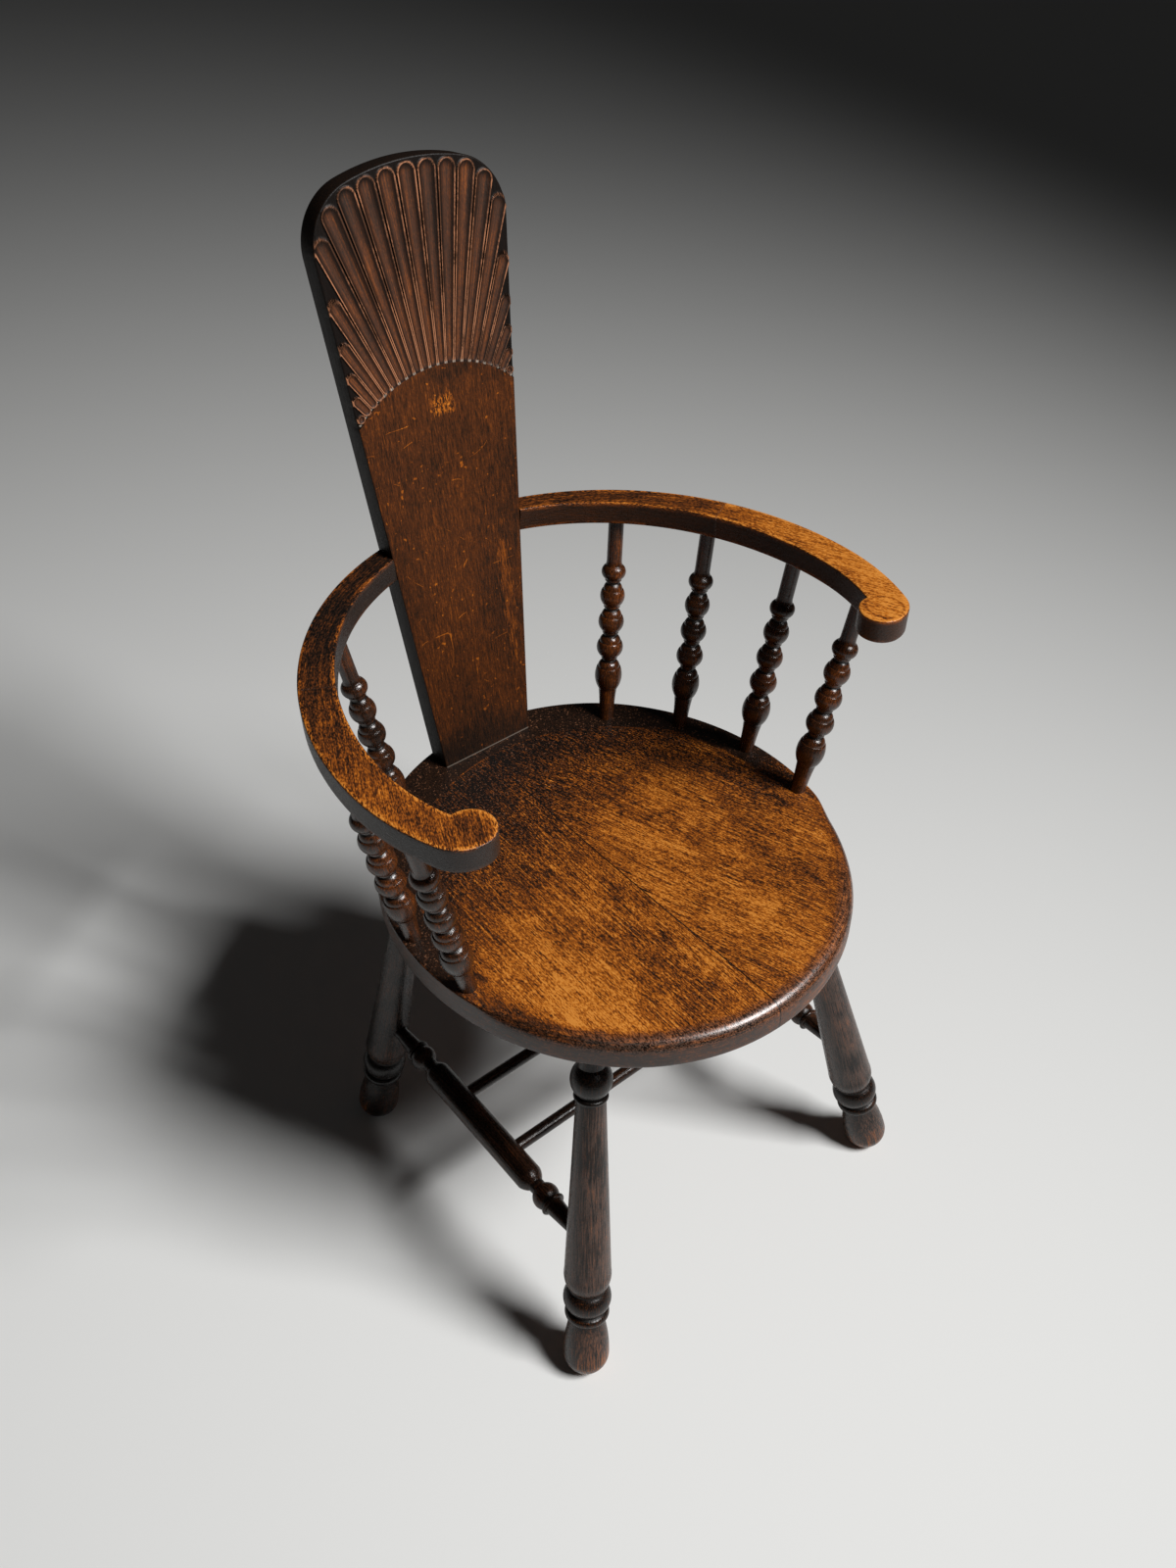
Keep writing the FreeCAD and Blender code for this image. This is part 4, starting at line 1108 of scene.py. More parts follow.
def arm_pin():
    """Socket of the dowel between the left arm and the splat, as a rod."""
    arm = chair("arm")
    height = splat_height_at_arms()
    middle = splat_point(splat_half_width(height), height, splat_depth(height) / 2)
    half = Vector((arm.dowel_half, 0, 0))
    return middle - half, middle + half, arm.dowel_radius


def spindle_ends(index):
    """Foot and head of one left spindle, counted from the splat."""
    seat, arm, spindle = chair("seat"), chair("arm"), chair("spindle")
    angle = spindle.first_foot - spindle.foot_step * index
    x = (seat.half_width - spindle.side_inset) * math.cos(angle)
    y = (seat.half_depth - spindle.back_inset) * math.sin(angle)
    plan = arm_plan(0.5, spindle.first_head - spindle.head_step * index)
    return seat_point(x, y, seat.top), arm_point(plan.x, plan.y, arm.thickness)


def leg_ends(facing):
    """Foot and head of a left leg; facing is -1 in front and 1 behind."""
    seat, leg = chair("seat"), chair("leg")
    inset = leg.front_head if facing < 0 else leg.rear_head
    splay = leg.front_splay if facing < 0 else leg.rear_splay
    x = seat.half_width - inset[0]
    y = facing * (seat.half_depth - inset[1])
    foot = seat_point(x + splay[0], y + facing * splay[1], 0)
    return foot, seat_point(x, y, seat.top - seat.thickness)


def stretcher_ends():
    """Rear and front ends of the left side stretcher, on the legs' axes."""
    seat, stretcher = chair("seat"), chair("stretcher")
    under = seat.top - seat.thickness
    ends = []
    for facing, height in ((1, stretcher.rear_height), (-1, stretcher.front_height)):
        foot, head = leg_ends(facing)
        ends.append(foot.lerp(head, height / under))
    return ends


def along(start, end, distance):
    return start + (end - start).normalized() * distance


def cross_joints():
    """Place, distance from the rear leg, left joint and half length of each cross stretcher."""
    stretcher = chair("stretcher")
    rear, front = stretcher_ends()
    made = []
    for index, place in enumerate(("rear", "front")):
        distance = stretcher.cross_rear + stretcher.cross_spacing * index
        joint = along(rear, front, distance)
        made.append((place, distance, joint, joint.x - stretcher.cross_core))
    return made


# Operators

class ARMCHAIR_OT_spindles(bpy.types.Operator):
    """Turn the eight bobbin spindles"""

    bl_idname = "armchair.spindles"
    bl_label = "Spindles"

    BOBBINS = 3
    NECK = 2.6 * MM
    COLLAR = 2.2 * MM
    COLLAR_PROUD = 1.8 * MM
    # Rise of a swell to its widest place, on to its rim, and of the cap above it
    VASE = (17.6 * MM, 7.5 * MM, 7.5 * MM)
    BOBBIN = (10.0 * MM, 6.6 * MM, 7.2 * MM)
    # How far the rim, the foot of the cap and the cap's middle draw in
    RIM, CAP_FOOT, CAP_MIDDLE = 1.7 * MM, 1.0 * MM, 1.9 * MM
    # Share of the cap's rise at its middle
    CAP_SHARE = 0.55
    BEAD_MIDDLE, BEAD, BEAD_PROUD = 5.6 * MM, 14.2 * MM, 0.8 * MM
    SHOULDER, SHOULDER_PROUD = 4.0 * MM, 0.3 * MM

    def outline(self, span):
        """Stem, vase, bobbins, a bead and a plain shank, with a tenon at each end."""
        seat, arm, spindle = chair("seat"), chair("arm"), chair("spindle")
        neck = self.NECK + self.COLLAR
        turned = sum(self.VASE) + (neck + sum(self.BOBBIN)) * self.BOBBINS
        plain = span - turned - neck - self.BEAD - self.SHOULDER
        outline = Turning(spindle.foot, spindle.seat_cover - seat.thickness)
        outline.line_to(spindle.foot, 0)
        stem = plain * spindle.stem_share
        outline.bulge(spindle.foot + spindle.stem_swell, spindle.stem_top, stem)
        self.swell(outline, spindle, spindle.vase, *self.VASE)
        for index in range(self.BOBBINS):
            self.collar(outline, spindle)
            radius = spindle.bobbin - spindle.bobbin_fall * index
            self.swell(outline, spindle, radius, *self.BOBBIN)
        self.collar(outline, spindle)
        outline.arc(spindle.bead, self.BEAD_MIDDLE, spindle.head + self.BEAD_PROUD, self.BEAD)
        outline.bulge(spindle.head + self.SHOULDER_PROUD, spindle.head, self.SHOULDER)
        outline.line_to(spindle.head, span + arm.thickness - spindle.arm_cover)
        return outline

    def swell(self, outline, spindle, radius, low, high, cap):
        """A swell with a smaller cap set in above it, down to the neck."""
        rim = radius - self.RIM
        outline.arc(radius, low, rim, low + high)
        outline.line(rim - self.CAP_FOOT, 0)
        outline.arc(rim - self.CAP_MIDDLE, cap * self.CAP_SHARE, spindle.neck, cap)

    def collar(self, outline, spindle):
        """A neck and the flat collar on it."""
        outline.line(spindle.neck, self.NECK)
        outline.line(spindle.neck + self.COLLAR_PROUD, 0)
        outline.line(spindle.neck + self.COLLAR_PROUD, self.COLLAR)

    def execute(self, context):
        finish = oak("spindle_finish", dress_spindle, gloss=0.5)
        for index in range(chair("spindle").count):
            foot, head = spindle_ends(index)
            outline = self.outline((head - foot).length)
            for side, sign in SIDES:
                node = f"{side}_spindle_{index + 1}"
                figure = Vector((0.4 * sign, 0.31 * index, 0.9 * index * sign))
                piece = turned_piece(node, outline, (foot, head), sign, figure, finish)
                stand_in(piece, node)
        return {"FINISHED"}


class ARMCHAIR_OT_legs(bpy.types.Operator):
    """Turn the four splayed legs"""

    bl_idname = "armchair.legs"
    bl_label = "Legs"

    FOOT_WEAR = 1.0 * MM
    FOOT_START = math.radians(6)
    GROOVE = 1.5 * MM
    RING, TORUS, BODY = 10.5 * MM, 24.5 * MM, 22.0 * MM
    COLLAR, COLLAR_PROUD = 5.0 * MM, 2.2 * MM
    NECK_STEP = 1.5 * MM
    BALL_CAP = 3.5 * MM
    DARK_RINGS = 40 * MM
    SIDES_ROUND = 96

    def outline(self, span):
        """Foot, ankle, two rings, a tapering body, a collar, a ball and the tenon."""
        seat, leg = chair("seat"), chair("leg")
        rise = leg.ankle_height - leg.foot + self.FOOT_WEAR
        draw = leg.foot - leg.ankle
        sweep = (rise ** 2 + draw ** 2) / (2 * draw)
        calf = leg.foot - sweep + math.sqrt(sweep ** 2 - (rise / 2) ** 2)
        half = math.sqrt(0.5)
        climb = leg.foot * math.cos(self.FOOT_START)
        outline = Turning(leg.foot * math.sin(self.FOOT_START), leg.foot - climb - self.FOOT_WEAR)
        outline.arc(leg.foot * half, climb - leg.foot * half, leg.foot, climb)
        outline.bulge(calf, leg.ankle, rise)
        for proud, height in ((leg.ring_proud, self.RING), (leg.torus_proud, self.TORUS)):
            outline.line(leg.groove, self.GROOVE)
            outline.bulge(leg.groove + proud, leg.groove, height)
        outline.line(leg.groove, self.GROOVE)
        body, middle = leg.groove + leg.body_proud, leg.groove + leg.body_proud * half
        outline.arc(middle, self.BODY * (1 - half), body, self.BODY)
        half_ball = leg.ball - self.BALL_CAP
        neck = leg.taper - self.NECK_STEP
        outline.line_to(leg.taper, span - leg.ball_drop - half_ball - self.COLLAR)
        outline.bulge(leg.taper + self.COLLAR_PROUD, neck, self.COLLAR)
        outline.bulge(leg.ball, neck, 2 * half_ball)
        outline.line_to(leg.head, span - leg.head)
        outline.line_to(leg.head, span + seat.thickness - leg.seat_cover)
        return outline

    def dark(self, span):
        """Heights of the rings and of the ball and all above it, painted darker for dark polish and
        for painted shade under the seat and the leg's body.
        """
        leg = chair("leg")
        rings = leg.ankle_height - self.FOOT_WEAR
        ball = span - leg.ball_drop - leg.ball - self.GROOVE
        return (rings, rings + self.DARK_RINGS), (ball, math.inf)

    def execute(self, context):
        stretcher = chair("stretcher")
        finish = oak("leg_finish", dress_leg, gloss=0.32)
        rear, front = stretcher_ends()
        for place, facing, near, far in (("front", -1, front, rear), ("rear", 1, rear, front)):
            foot, head = leg_ends(facing)
            span = (head - foot).length
            outline = self.outline(span)
            start = along(near, far, stretcher.tip_start - SOCKET_END)
            end = along(near, far, stretcher.tip_start + stretcher.tip_length)
            rods = [(start, end, stretcher.tip + SOCKET_PLAY)]
            dark = self.dark(span)
            for side, sign in SIDES:
                node = f"{place}_{side}_leg"
                figure = Vector((0.35 * sign, 0.22 * facing, 0.6 * facing * sign))
                piece = turned_piece(
                    node, outline, (foot, head), sign, figure, finish, self.SIDES_ROUND, dark
                )
                bore(piece, rods_on_side(rods, sign))
                crease(piece, TURNED_CREASE)
                stand_in(piece, node)
        return {"FINISHED"}


class ARMCHAIR_OT_stretchers(bpy.types.Operator):
    """Turn the two side stretchers and the two cross stretchers"""

    bl_idname = "armchair.stretchers"
    bl_label = "Stretchers"

    RING, BALL, NECK = 4.0 * MM, 19.0 * MM, 6.0 * MM
    SHOULDER, SHOULDER_RADIUS = 10.0 * MM, 11.8 * MM

    def outline(self, stretcher, span):
        """A barrel between a neck, a ball, a ring and a cone at each end."""
        outline = Turning(stretcher.tip, stretcher.tip_start)
        outline.line(stretcher.tip, stretcher.tip_length)
        outline.line(stretcher.cone, stretcher.cone_length)
        outline.bulge(stretcher.ring, stretcher.cone, self.RING)
        outline.bulge(stretcher.ball, stretcher.neck, self.BALL)
        outline.line(stretcher.neck, self.NECK)
        outline.bulge(self.SHOULDER_RADIUS, stretcher.barrel, self.SHOULDER)
        outline.line_to(stretcher.barrel, span / 2)
        outline.mirrored(span / 2)
        return outline

    def execute(self, context):
        stretcher = chair("stretcher")
        finish = oak("stretcher_finish", dress_stretcher, gloss=0.3)
        rear, front = stretcher_ends()
        outline = self.outline(stretcher, (front - rear).length)
        rods = []
        for _, _, joint, half in cross_joints():
            across = joint.x - 2 * stretcher.barrel, half + SOCKET_END
            start, end = [Vector((x, joint.y, joint.z)) for x in across]
            rods.append((start, end, stretcher.cross + SOCKET_PLAY))
        for side, sign in SIDES:
            node = f"{side}_side_stretcher"
            figure = Vector((0.27 * sign, 0.5, 0.8 * sign))
            piece = turned_piece(node, outline, (rear, front), sign, figure, finish)
            bore(piece, rods_on_side(rods, sign))
            crease(piece, TURNED_CREASE)
            stand_in(piece, node)
        for place, distance, joint, half in cross_joints():
            node = f"{place}_cross_stretcher"
            plain = Turning(stretcher.cross, 0)
            plain.line_to(stretcher.cross, 2 * half)
            ends = [Vector((x, joint.y, joint.z)) for x in (-half, half)]
            figure = Vector((0.6, 0.1, distance * 9))
            piece = turned_piece(node, plain, ends, 1, figure, finish)
            crease(piece, TURNED_CREASE)
            stand_in(piece, node)
        return {"FINISHED"}


class ARMCHAIR_OT_seat(bpy.types.Operator):
    """Shape the seat and saw it into its two boards"""

    bl_idname = "armchair.seat"
    bl_label = "Seat"

    AROUND = 360
    UNDER_ROWS, WALL_ROWS, NOSE_ROWS, RIM_ROWS, DISH_ROWS = 4, 4, 8, 6, 46

    def plan(self, seat):
        """Points round the plan of four tangent arcs, with their outward directions."""
        end = seat.half_width - seat.end_tightening * (seat.half_depth - seat.half_width)
        shift = seat.half_depth - end
        side = (end ** 2 - seat.half_width ** 2 - shift ** 2) / (2 * (end - seat.half_width))
        offset = side - seat.half_width
        join = math.atan(shift / offset)
        made = []
        for i in range(self.AROUND):
            angle = math.tau * i / self.AROUND
            out = Vector((math.cos(angle), math.sin(angle)))
            at_side = abs(out.y) < math.sin(join)
            if at_side:
                centre = Vector((-math.copysign(offset, out.x), 0))
            else:
                centre = Vector((0, math.copysign(shift, out.y)))
            made.append((centre + out * (side if at_side else end), out))
        return made

    def nose(self, seat, y):
        """Rounding of the top edge, which grows from the eased back to the front."""
        s = (-seat.nose_start + seat.nose_fade / 2 - y) / seat.nose_fade
        s = max(0.0, min(1.0, s))
        return seat.ease + (seat.nose - seat.ease) * s * s * (3 - 2 * s)

    def column(self, seat, point, out):
        """One upright section from the underside's edge to the middle of the dish."""
        under = seat.top - seat.thickness
        nose = self.nose(seat, point.y)
        low, high = under + seat.under_round, seat.top - nose
        below = eased_edge(seat.under_round, self.UNDER_ROWS)
        above = reversed(eased_edge(nose, self.NOSE_ROWS))
        rows = [(point - out * inset, under + rise) for inset, rise in below]
        for i in range(1, self.WALL_ROWS):
            rows.append((point, low + (high - low) * i / self.WALL_ROWS))
        rows += [(point - out * inset, seat.top - drop) for inset, drop in above]
        rim = point - out * nose
        dish = seat.half_width - seat.dish_inset
        bowl = (dish ** 2 + seat.dish_depth ** 2) / (2 * seat.dish_depth)
        edge = rim.normalized() * dish
        for i in range(1, self.RIM_ROWS + 1):
            rows.append((rim.lerp(edge, i / self.RIM_ROWS), seat.top))
        for i in range(1, self.DISH_ROWS):
            place = edge * (1 - i / self.DISH_ROWS)
            drop = math.sqrt(bowl ** 2 - place.length_squared) - (bowl - seat.dish_depth)
            rows.append((place, seat.top - drop))
        return rows

    def whole(self, seat):
        """The whole seat as a closed mesh."""
        bm = bmesh.new()
        columns = [self.column(seat, point, out) for point, out in self.plan(seat)]
        loops = []
        for row in zip(*columns):
            loops.append([bm.verts.new(seat_point(p.x, p.y, z)) for p, z in row])
        for first, second in zip(loops, loops[1:]):
            bridge(bm, first, second)
        bm.faces.new(reversed(loops[0]))
        middle = bm.verts.new(seat_point(0, 0, seat.top - seat.dish_depth))
        top = loops[-1]
        for i in range(len(top)):
            bm.faces.new((top[i], top[(i + 1) % len(top)], middle))
        bmesh.ops.recalc_face_normals(bm, faces=bm.faces)
        return bm

    def board(self, name, seat, sign, finish):
        """One board of the seat, sawn along the seam."""
        bm = self.whole(seat)
        place = Vector((seat.seam + sign * seat.seam_gap / 2, 0, 0))
        saw(bm, place, Vector((-sign, 0, 0)))
        piece = piece_from(name, bm)
        piece.data.materials.append(finish)
        return piece

    def sockets(self, seat):
        """Round sockets for the spindles and legs on both sides, and for the seat's dowels."""
        spindle, leg = chair("spindle"), chair("leg")
        joints = []
        for index in range(spindle.count):
            foot, head = spindle_ends(index)
            joints.append((foot, head, spindle.seat_cover, spindle.foot))
        for facing in (-1, 1):
            foot, head = leg_ends(facing)
            joints.append((head, foot, leg.seat_cover, leg.head))
        rods = []
        for mouth, beyond, cover, radius in joints:
            depth = seat.thickness - cover
            bottom = along(mouth, beyond, -depth - SOCKET_END)
            rods.append((bottom, along(mouth, beyond, depth), radius + SOCKET_PLAY))
        rods += rods_on_side(rods, -1)
        level = seat.top - seat.thickness + (seat.thickness - seat.dish_depth) / 2
        half = Vector((SEAT_DOWEL_HALF, 0, 0))
        for index in (-1, 0, 1):
            middle = seat_point(seat.seam, SEAT_DOWEL_SPACING * index, level)
            rods.append((middle - half, middle + half, SEAT_DOWEL_RADIUS))
        return rods

    def mortise(self, bm, seat):
        """Adds the opening for the splat's tenon to the cuts."""
        splat = chair("splat")
        half = splat.foot_half_width - splat.side_shoulder + JOINT_GAP
        front = splat.face_shoulder - JOINT_GAP
        back = splat.thickness - splat.face_shoulder + JOINT_GAP
        for vert in bmesh.ops.create_cube(bm, size=1.0)["verts"]:
            height = seat.thickness * 2 * vert.co.z - seat.thickness / 2
            depth = front if vert.co.y < 0 else back
            vert.co = splat_point(2 * half * vert.co.x, height, depth)

    def execute(self, context):
        seat = chair("seat")
        finish = oak("seat_finish", dress_seat, gloss=0.36)
        for side, sign in SIDES:
            node = f"{side}_seat_board"
            piece = self.board(f"{node}_shaped", seat, sign, finish)
            bm = rods_mesh(self.sockets(seat))
            self.mortise(bm, seat)
            cut(piece, bm)
            crease(piece, SAWN_CREASE)
            stand_in(piece, node)
        return {"FINISHED"}


class ARMCHAIR_OT_arms(bpy.types.Operator):
    """Saw the two hooped arms with their scrolls"""

    bl_idname = "armchair.arms"
    bl_label = "Arms"

    BACK_END = math.radians(84)
    OUTER_STEPS, ROLL_STEPS, EYE_STEPS, INNER_STEPS = 150, 40, 60, 130

    def plan(self, arm):
        """The left arm's closed plan, from the back round the outside, scroll and inside."""
        side, front, _ = arm_axes(0)
        outer_end = math.asin((arm.scroll_start - arm.centre) / front)
        inner_front = arm_axes(1)[1]
        start = arm_plan(0, outer_end)
        normal = math.atan2((start.y - arm.centre) / front ** 2, start.x / side ** 2)
        roll = start - Vector((math.cos(normal), math.sin(normal))) * arm.scroll_outer
        eye = roll - Vector((0, arm.scroll_outer - arm.scroll_inner))
        notch = eye + Vector((0, arm.scroll_inner))
        inner_end = math.asin((notch.y - arm.centre) / inner_front)
        outside, inside = partial(arm_plan, 0), partial(arm_plan, 1)
        low = -math.pi / 2
        points = self.sweep(outside, self.BACK_END, outer_end, self.OUTER_STEPS)
        points += self.circle(roll, arm.scroll_outer, normal, low, self.ROLL_STEPS)
        points += self.circle(eye, arm.scroll_inner, low, 3 * low, self.EYE_STEPS)
        points.append(notch)
        points += self.sweep(inside, inner_end, self.BACK_END, self.INNER_STEPS)
        points.append(inside(self.BACK_END))
        return points

    def sweep(self, place, first, last, count):
        return [place(first + (last - first) * i / count) for i in range(count)]

    def circle(self, centre, radius, first, last, count):
        return self.sweep(
            lambda a: centre + Vector((math.cos(a), math.sin(a))) * radius, first, last, count
        )

    def offsets(self, points):
        """Directions in which the plan's edge moves inwards, mitred at its corners."""
        made = []
        count = len(points)
        for i, point in enumerate(points):
            into = (point - points[i - 1]).normalized()
            out = (points[(i + 1) % count] - point).normalized()
            normals = [Vector((d.y, -d.x)) for d in (into, out)]
            made.append((normals[0] + normals[1]) / (1 + normals[0].dot(normals[1])))
        return made

    def blank(self, arm, sign):
        """The arm before it is cut to the splat, with eased edges and their wear."""
        points = self.plan(arm)
        inward = self.offsets(points)
        area = sum(a.x * b.y - a.y * b.x for a, b in zip(points, points[1:] + points[:1]))
        if area > 0:
            inward = [d * -1 for d in inward]
        ease, worn = arm.ease, arm.worn
        section = [(ease + worn, 0, 0)]
        section += [(inset, depth, 1) for inset, depth in eased_edge(ease)]
        section.append((0, ease + worn, 0))
        section += [(inset, arm.thickness - depth, wear) for inset, depth, wear in section[::-1]]
        bm = bmesh.new()
        edge = bm.verts.layers.float.new("edge")
        loops = []
        for inset, depth, wear in section:
            loop = []
            for point, direction in zip(points, inward):
                place = point + direction * inset
                vert = bm.verts.new(on_side(arm_point(place.x, place.y, depth), sign))
                vert[edge] = wear
                loop.append(vert)
            loops.append(loop)
        for first, second in zip(loops, loops[1:]):
            bridge(bm, first, second)
        bm.faces.new(loops[0])
        bm.faces.new(reversed(loops[-1]))
        bmesh.ops.recalc_face_normals(bm, faces=bm.faces)
        return bm

    def fit_to_splat(self, bm, sign):
        """Cuts the arm where it butts against the splat's side."""
        flare = chair("splat").flare
        gap = JOINT_GAP / math.cos(flare)
        place = on_side(splat_point(splat_half_width(0) + gap, 0, 0), sign)
        up = splat_point(0, 1, 0) - splat_point(0, 0, 0)
        saw(bm, place, up * math.sin(flare) - Vector((math.cos(flare) * sign, 0, 0)))

    def execute(self, context):
        arm, spindle = chair("arm"), chair("spindle")
        finish = oak("arm_finish", dress_arm, gloss=0.36)
        depth = arm.thickness - spindle.arm_cover
        rods = [arm_pin()]
        for index in range(spindle.count):
            foot, head = spindle_ends(index)
            start, end = along(head, foot, depth), along(head, foot, -depth - SOCKET_END)
            rods.append((start, end, spindle.head + SOCKET_PLAY))
        for side, sign in SIDES:
            node = f"{side}_arm"
            bm = self.blank(arm, sign)
            self.fit_to_splat(bm, sign)
            piece = piece_from(f"{node}_sawn", bm)
            piece.data.materials.append(finish)
            bore(piece, rods_on_side(rods, sign))
            crease(piece, SAWN_CREASE)
            stand_in(piece, node)
        return {"FINISHED"}


class ARMCHAIR_OT_splat(bpy.types.Operator):
    """Shape the back splat and carve its fan"""

    bl_idname = "armchair.splat"
    bl_label = "Back splat"

    SIDE_ROWS = 60
    FLUTES_LIMIT = 16
    SHORTEST_FLUTE = 6 * MM
    # Least share of the flutes' margin, where they meet the side at a slant
    SIDE_MARGIN = 0.8
    # How much the points crowd towards the ridges, and towards the flutes' tips
    CROWDING, TIP_CROWDING = 0.72, 1.5
    # Angles between which the fan's arc meets the splat's side
    FAN_ANGLES = math.radians(20), math.radians(80)
    # Middle and fading edge of a worn lip, and the run in which the ground starts
    LIP_MIDDLE, LIP_EDGE, GROUND_RUN = 0.2 * MM, (0.3 * MM, 0.7 * MM), 0.4 * MM

    def fan_centre(self):
        """Centre of the fan: across, and up the face."""
        return Vector((0, chair("splat").height - chair("fan").drop))

    def side_out(self):
        """Direction in which the splat's left side faces, in the plane of its face."""
        flare = chair("splat").flare
        return Vector((math.cos(flare), -math.sin(flare)))

    def face_half_width(self, height):
        """Half width of the flat face, inside its eased edges."""
        return splat_half_width(height) - chair("splat").ease / math.cos(chair("splat").flare)

    def corner(self, splat):
        """Centre of the rounded top corner: across, and up the face."""
        flare = math.tan(splat.flare)
        arch_height = splat.height - splat.arch
        at_arch = splat_half_width(arch_height) - splat.corner * math.hypot(1, flare)
        a = 1 + flare ** 2
        b = 2 * flare * at_arch
        c = at_arch ** 2 - (splat.arch - splat.corner) ** 2
        rise = (-b + math.sqrt(b ** 2 - 4 * a * c)) / (2 * a)
        return Vector((at_arch + flare * rise, arch_height + rise))

    def ray_to_circle(self, start, ray, centre, radius):
        """How far a ray from inside runs to a circle's far side, or None."""
        offset = start - centre
        half_b = offset.dot(ray)
        root = half_b ** 2 - offset.length_squared + radius ** 2
        return -half_b + math.sqrt(root) if root > 0 else None

    def rim(self, angle, inset):
        """Point of the inset outline on a ray from the fan's centre, with its outward direction."""
        splat = chair("splat")
        sign = math.copysign(1, angle)
        ray = Vector((math.sin(abs(angle)), math.cos(angle)))
        start = self.fan_centre()
        corner = self.corner(splat)
        arch_middle = Vector((0, splat.height - splat.arch))
        side_out = self.side_out()
        side_gap = (Vector((splat.foot_half_width, 0)) - side_out * inset - start).dot(side_out)
        side_run = side_gap / ray.dot(side_out) if ray.dot(side_out) > 1e-6 else math.inf
        arch_run = self.ray_to_circle(start, ray, arch_middle, splat.arch - inset)
        place = start + ray * min(side_run, arch_run)
        out = side_out if side_run < arch_run else (place - arch_middle).normalized()
        arch_end = math.atan2(corner.x, corner.y - arch_middle.y)
        turned = math.atan2(place.x, place.y - arch_middle.y)
        side_end = (corner + side_out * splat.corner).y
        if turned > arch_end and place.y > side_end:
            run = self.ray_to_circle(start, ray, corner, splat.corner - inset)
            if run:
                place = start + ray * run
                out = (place - corner).normalized()
        return Vector((place.x * sign, place.y)), Vector((out.x * sign, out.y))

    def fan_angle(self):
        """Angle at which the fan's arc meets the splat's side."""
        low, high = self.FAN_ANGLES
        for _ in range(60):
            middle = (low + high) / 2
            place, _ = self.rim(middle, chair("splat").ease)
            inside = (place - self.fan_centre()).length > chair("fan").arc
            low, high = (middle, high) if inside else (low, middle)
        return low

    def flutes(self):
        """Angles of the flutes with the reach of each, for as long as the splat leaves room."""
        fan = chair("fan")
        sine = math.sin(fan.pitch / 2 * (1 - fan.ridge))
        made = {}
        for index in range(self.FLUTES_LIMIT):
            place, out = self.rim(fan.pitch * index, 0)
            run = place - self.fan_centre()
            square = run.normalized().dot(out)
            margin = fan.margin * max(self.SIDE_MARGIN, square)
            reach = (run.length - margin) * square * (1 + sine) / (square + sine)
            if reach - fan.arc < self.SHORTEST_FLUTE:
                break
            made[index] = made[-index] = reach
        return made

    def fan_columns(self, fan):
        """Angles of the fan's columns of points, which crowd towards the ridges."""
        count = fan.steps * self.FLUTES_LIMIT
        made = []
        for i in range(-count, count + 1):
            s = i / fan.steps
            made.append(fan.pitch * (s + self.CROWDING * math.sin(math.tau * s) / math.tau))
        return made

    def nearest(self, flutes, fan, angle):
        """Offset and reach of the two flutes nearest to an angle."""
        ranked = sorted(flutes, key=lambda k: abs(angle - k * fan.pitch))[:2]
        return [(angle - k * fan.pitch, flutes[k]) for k in ranked]

    def carving_tree(self, values):
        """Geometry tree that sinks the flutes and the ground between them into the splat's face."""
        inputs = [("Blank", "Geometry")] + [(name, "Float") for name in values]
        inputs += [("Inwards", "Vector"), ("Finish", "Material")]
        net, given = new_tree("fan_carving", inputs)
        sine = net.maths("SINE", given.out("Half angle"))
        cosine = net.maths("COSINE", given.out("Half angle"))
        base = (given.out("Arc radius") + given.out("Base margin")) / (1 - sine)

        def flute(name):
            """Distance inside one flute's outline, and its half width there."""
            radius, angle, reach = net.parts(named(net, name, "FLOAT_VECTOR"))
            out = radius * net.maths("COSINE", angle)
            aside = abs(radius * net.maths("SINE", angle))
            tip = reach / (1 + sine)
            wedge = out * sine - aside * cosine

            def end(centre):
                gap = out - centre
                round_end = centre * sine - net.distance(gap, aside)
                return round_end, gap * cosine + aside * sine

            tip_round, past_tip = end(tip)
            base_round, past_base = end(base)
            at_tip = net.maths("GREATER_THAN", past_tip, 0.0)
            at_base = net.maths("LESS_THAN", past_base, 0.0)
            inside = wedge + at_tip * (tip_round - wedge) + at_base * (base_round - wedge)
            half_width = net.most(net.least(out, tip), base) * sine
            return inside, half_width

        first, half_width = flute("near_flute")
        second, _ = flute("next_flute")
        inside = net.most(first, second)
        carved = named(net, "carved")
        into = net.most(net.least(first / half_width, 1.0), 0.0)
        channel = half_width * given.out("Depth share") * (1 - (1 - into) * (1 - into))
        outside = net.most(-inside - given.out("Lip"), 0.0)
        ground = net.least(outside * given.out("Slope"), given.out("Ground"))
        depth = (channel + ground) * carved
        lip = (1 - net.fade(abs(inside + self.LIP_MIDDLE), *self.LIP_EDGE)) * carved
        scale = {0: given.out("Inwards"), "Scale": depth}
        offset = net.node("ShaderNodeVectorMath", {"operation": "SCALE"}, scale)
        mesh = stored(net, given.out("Blank"), "lip", lip)
        mesh = stored(net, mesh, "channel", into * carved)
        mesh = stored(net, mesh, "ground", net.fade(outside, 0.0, self.GROUND_RUN) * carved)
        mesh = net.node("GeometryNodeSetPosition", None, {0: mesh, 3: offset})
        close_tree(net, mesh, given.out("Finish"))
        return net.tree

    def carve(self, piece, finish):
        """Runs the carving tree on the blank."""
        fan = chair("fan")
        values = {
            "Half angle": fan.pitch / 2 * (1 - fan.ridge),
            "Arc radius": fan.arc,
            "Base margin": fan.base,
            "Depth share": fan.depth,
            "Lip": fan.lip,
            "Slope": fan.slope,
            "Ground": fan.ground,
        }
        tree = self.carving_tree(values)
        values["Inwards"] = splat_point(0, 0, 1) - splat_point(0, 0, 0)
        values["Finish"] = finish
        run_tree(piece, tree, values)

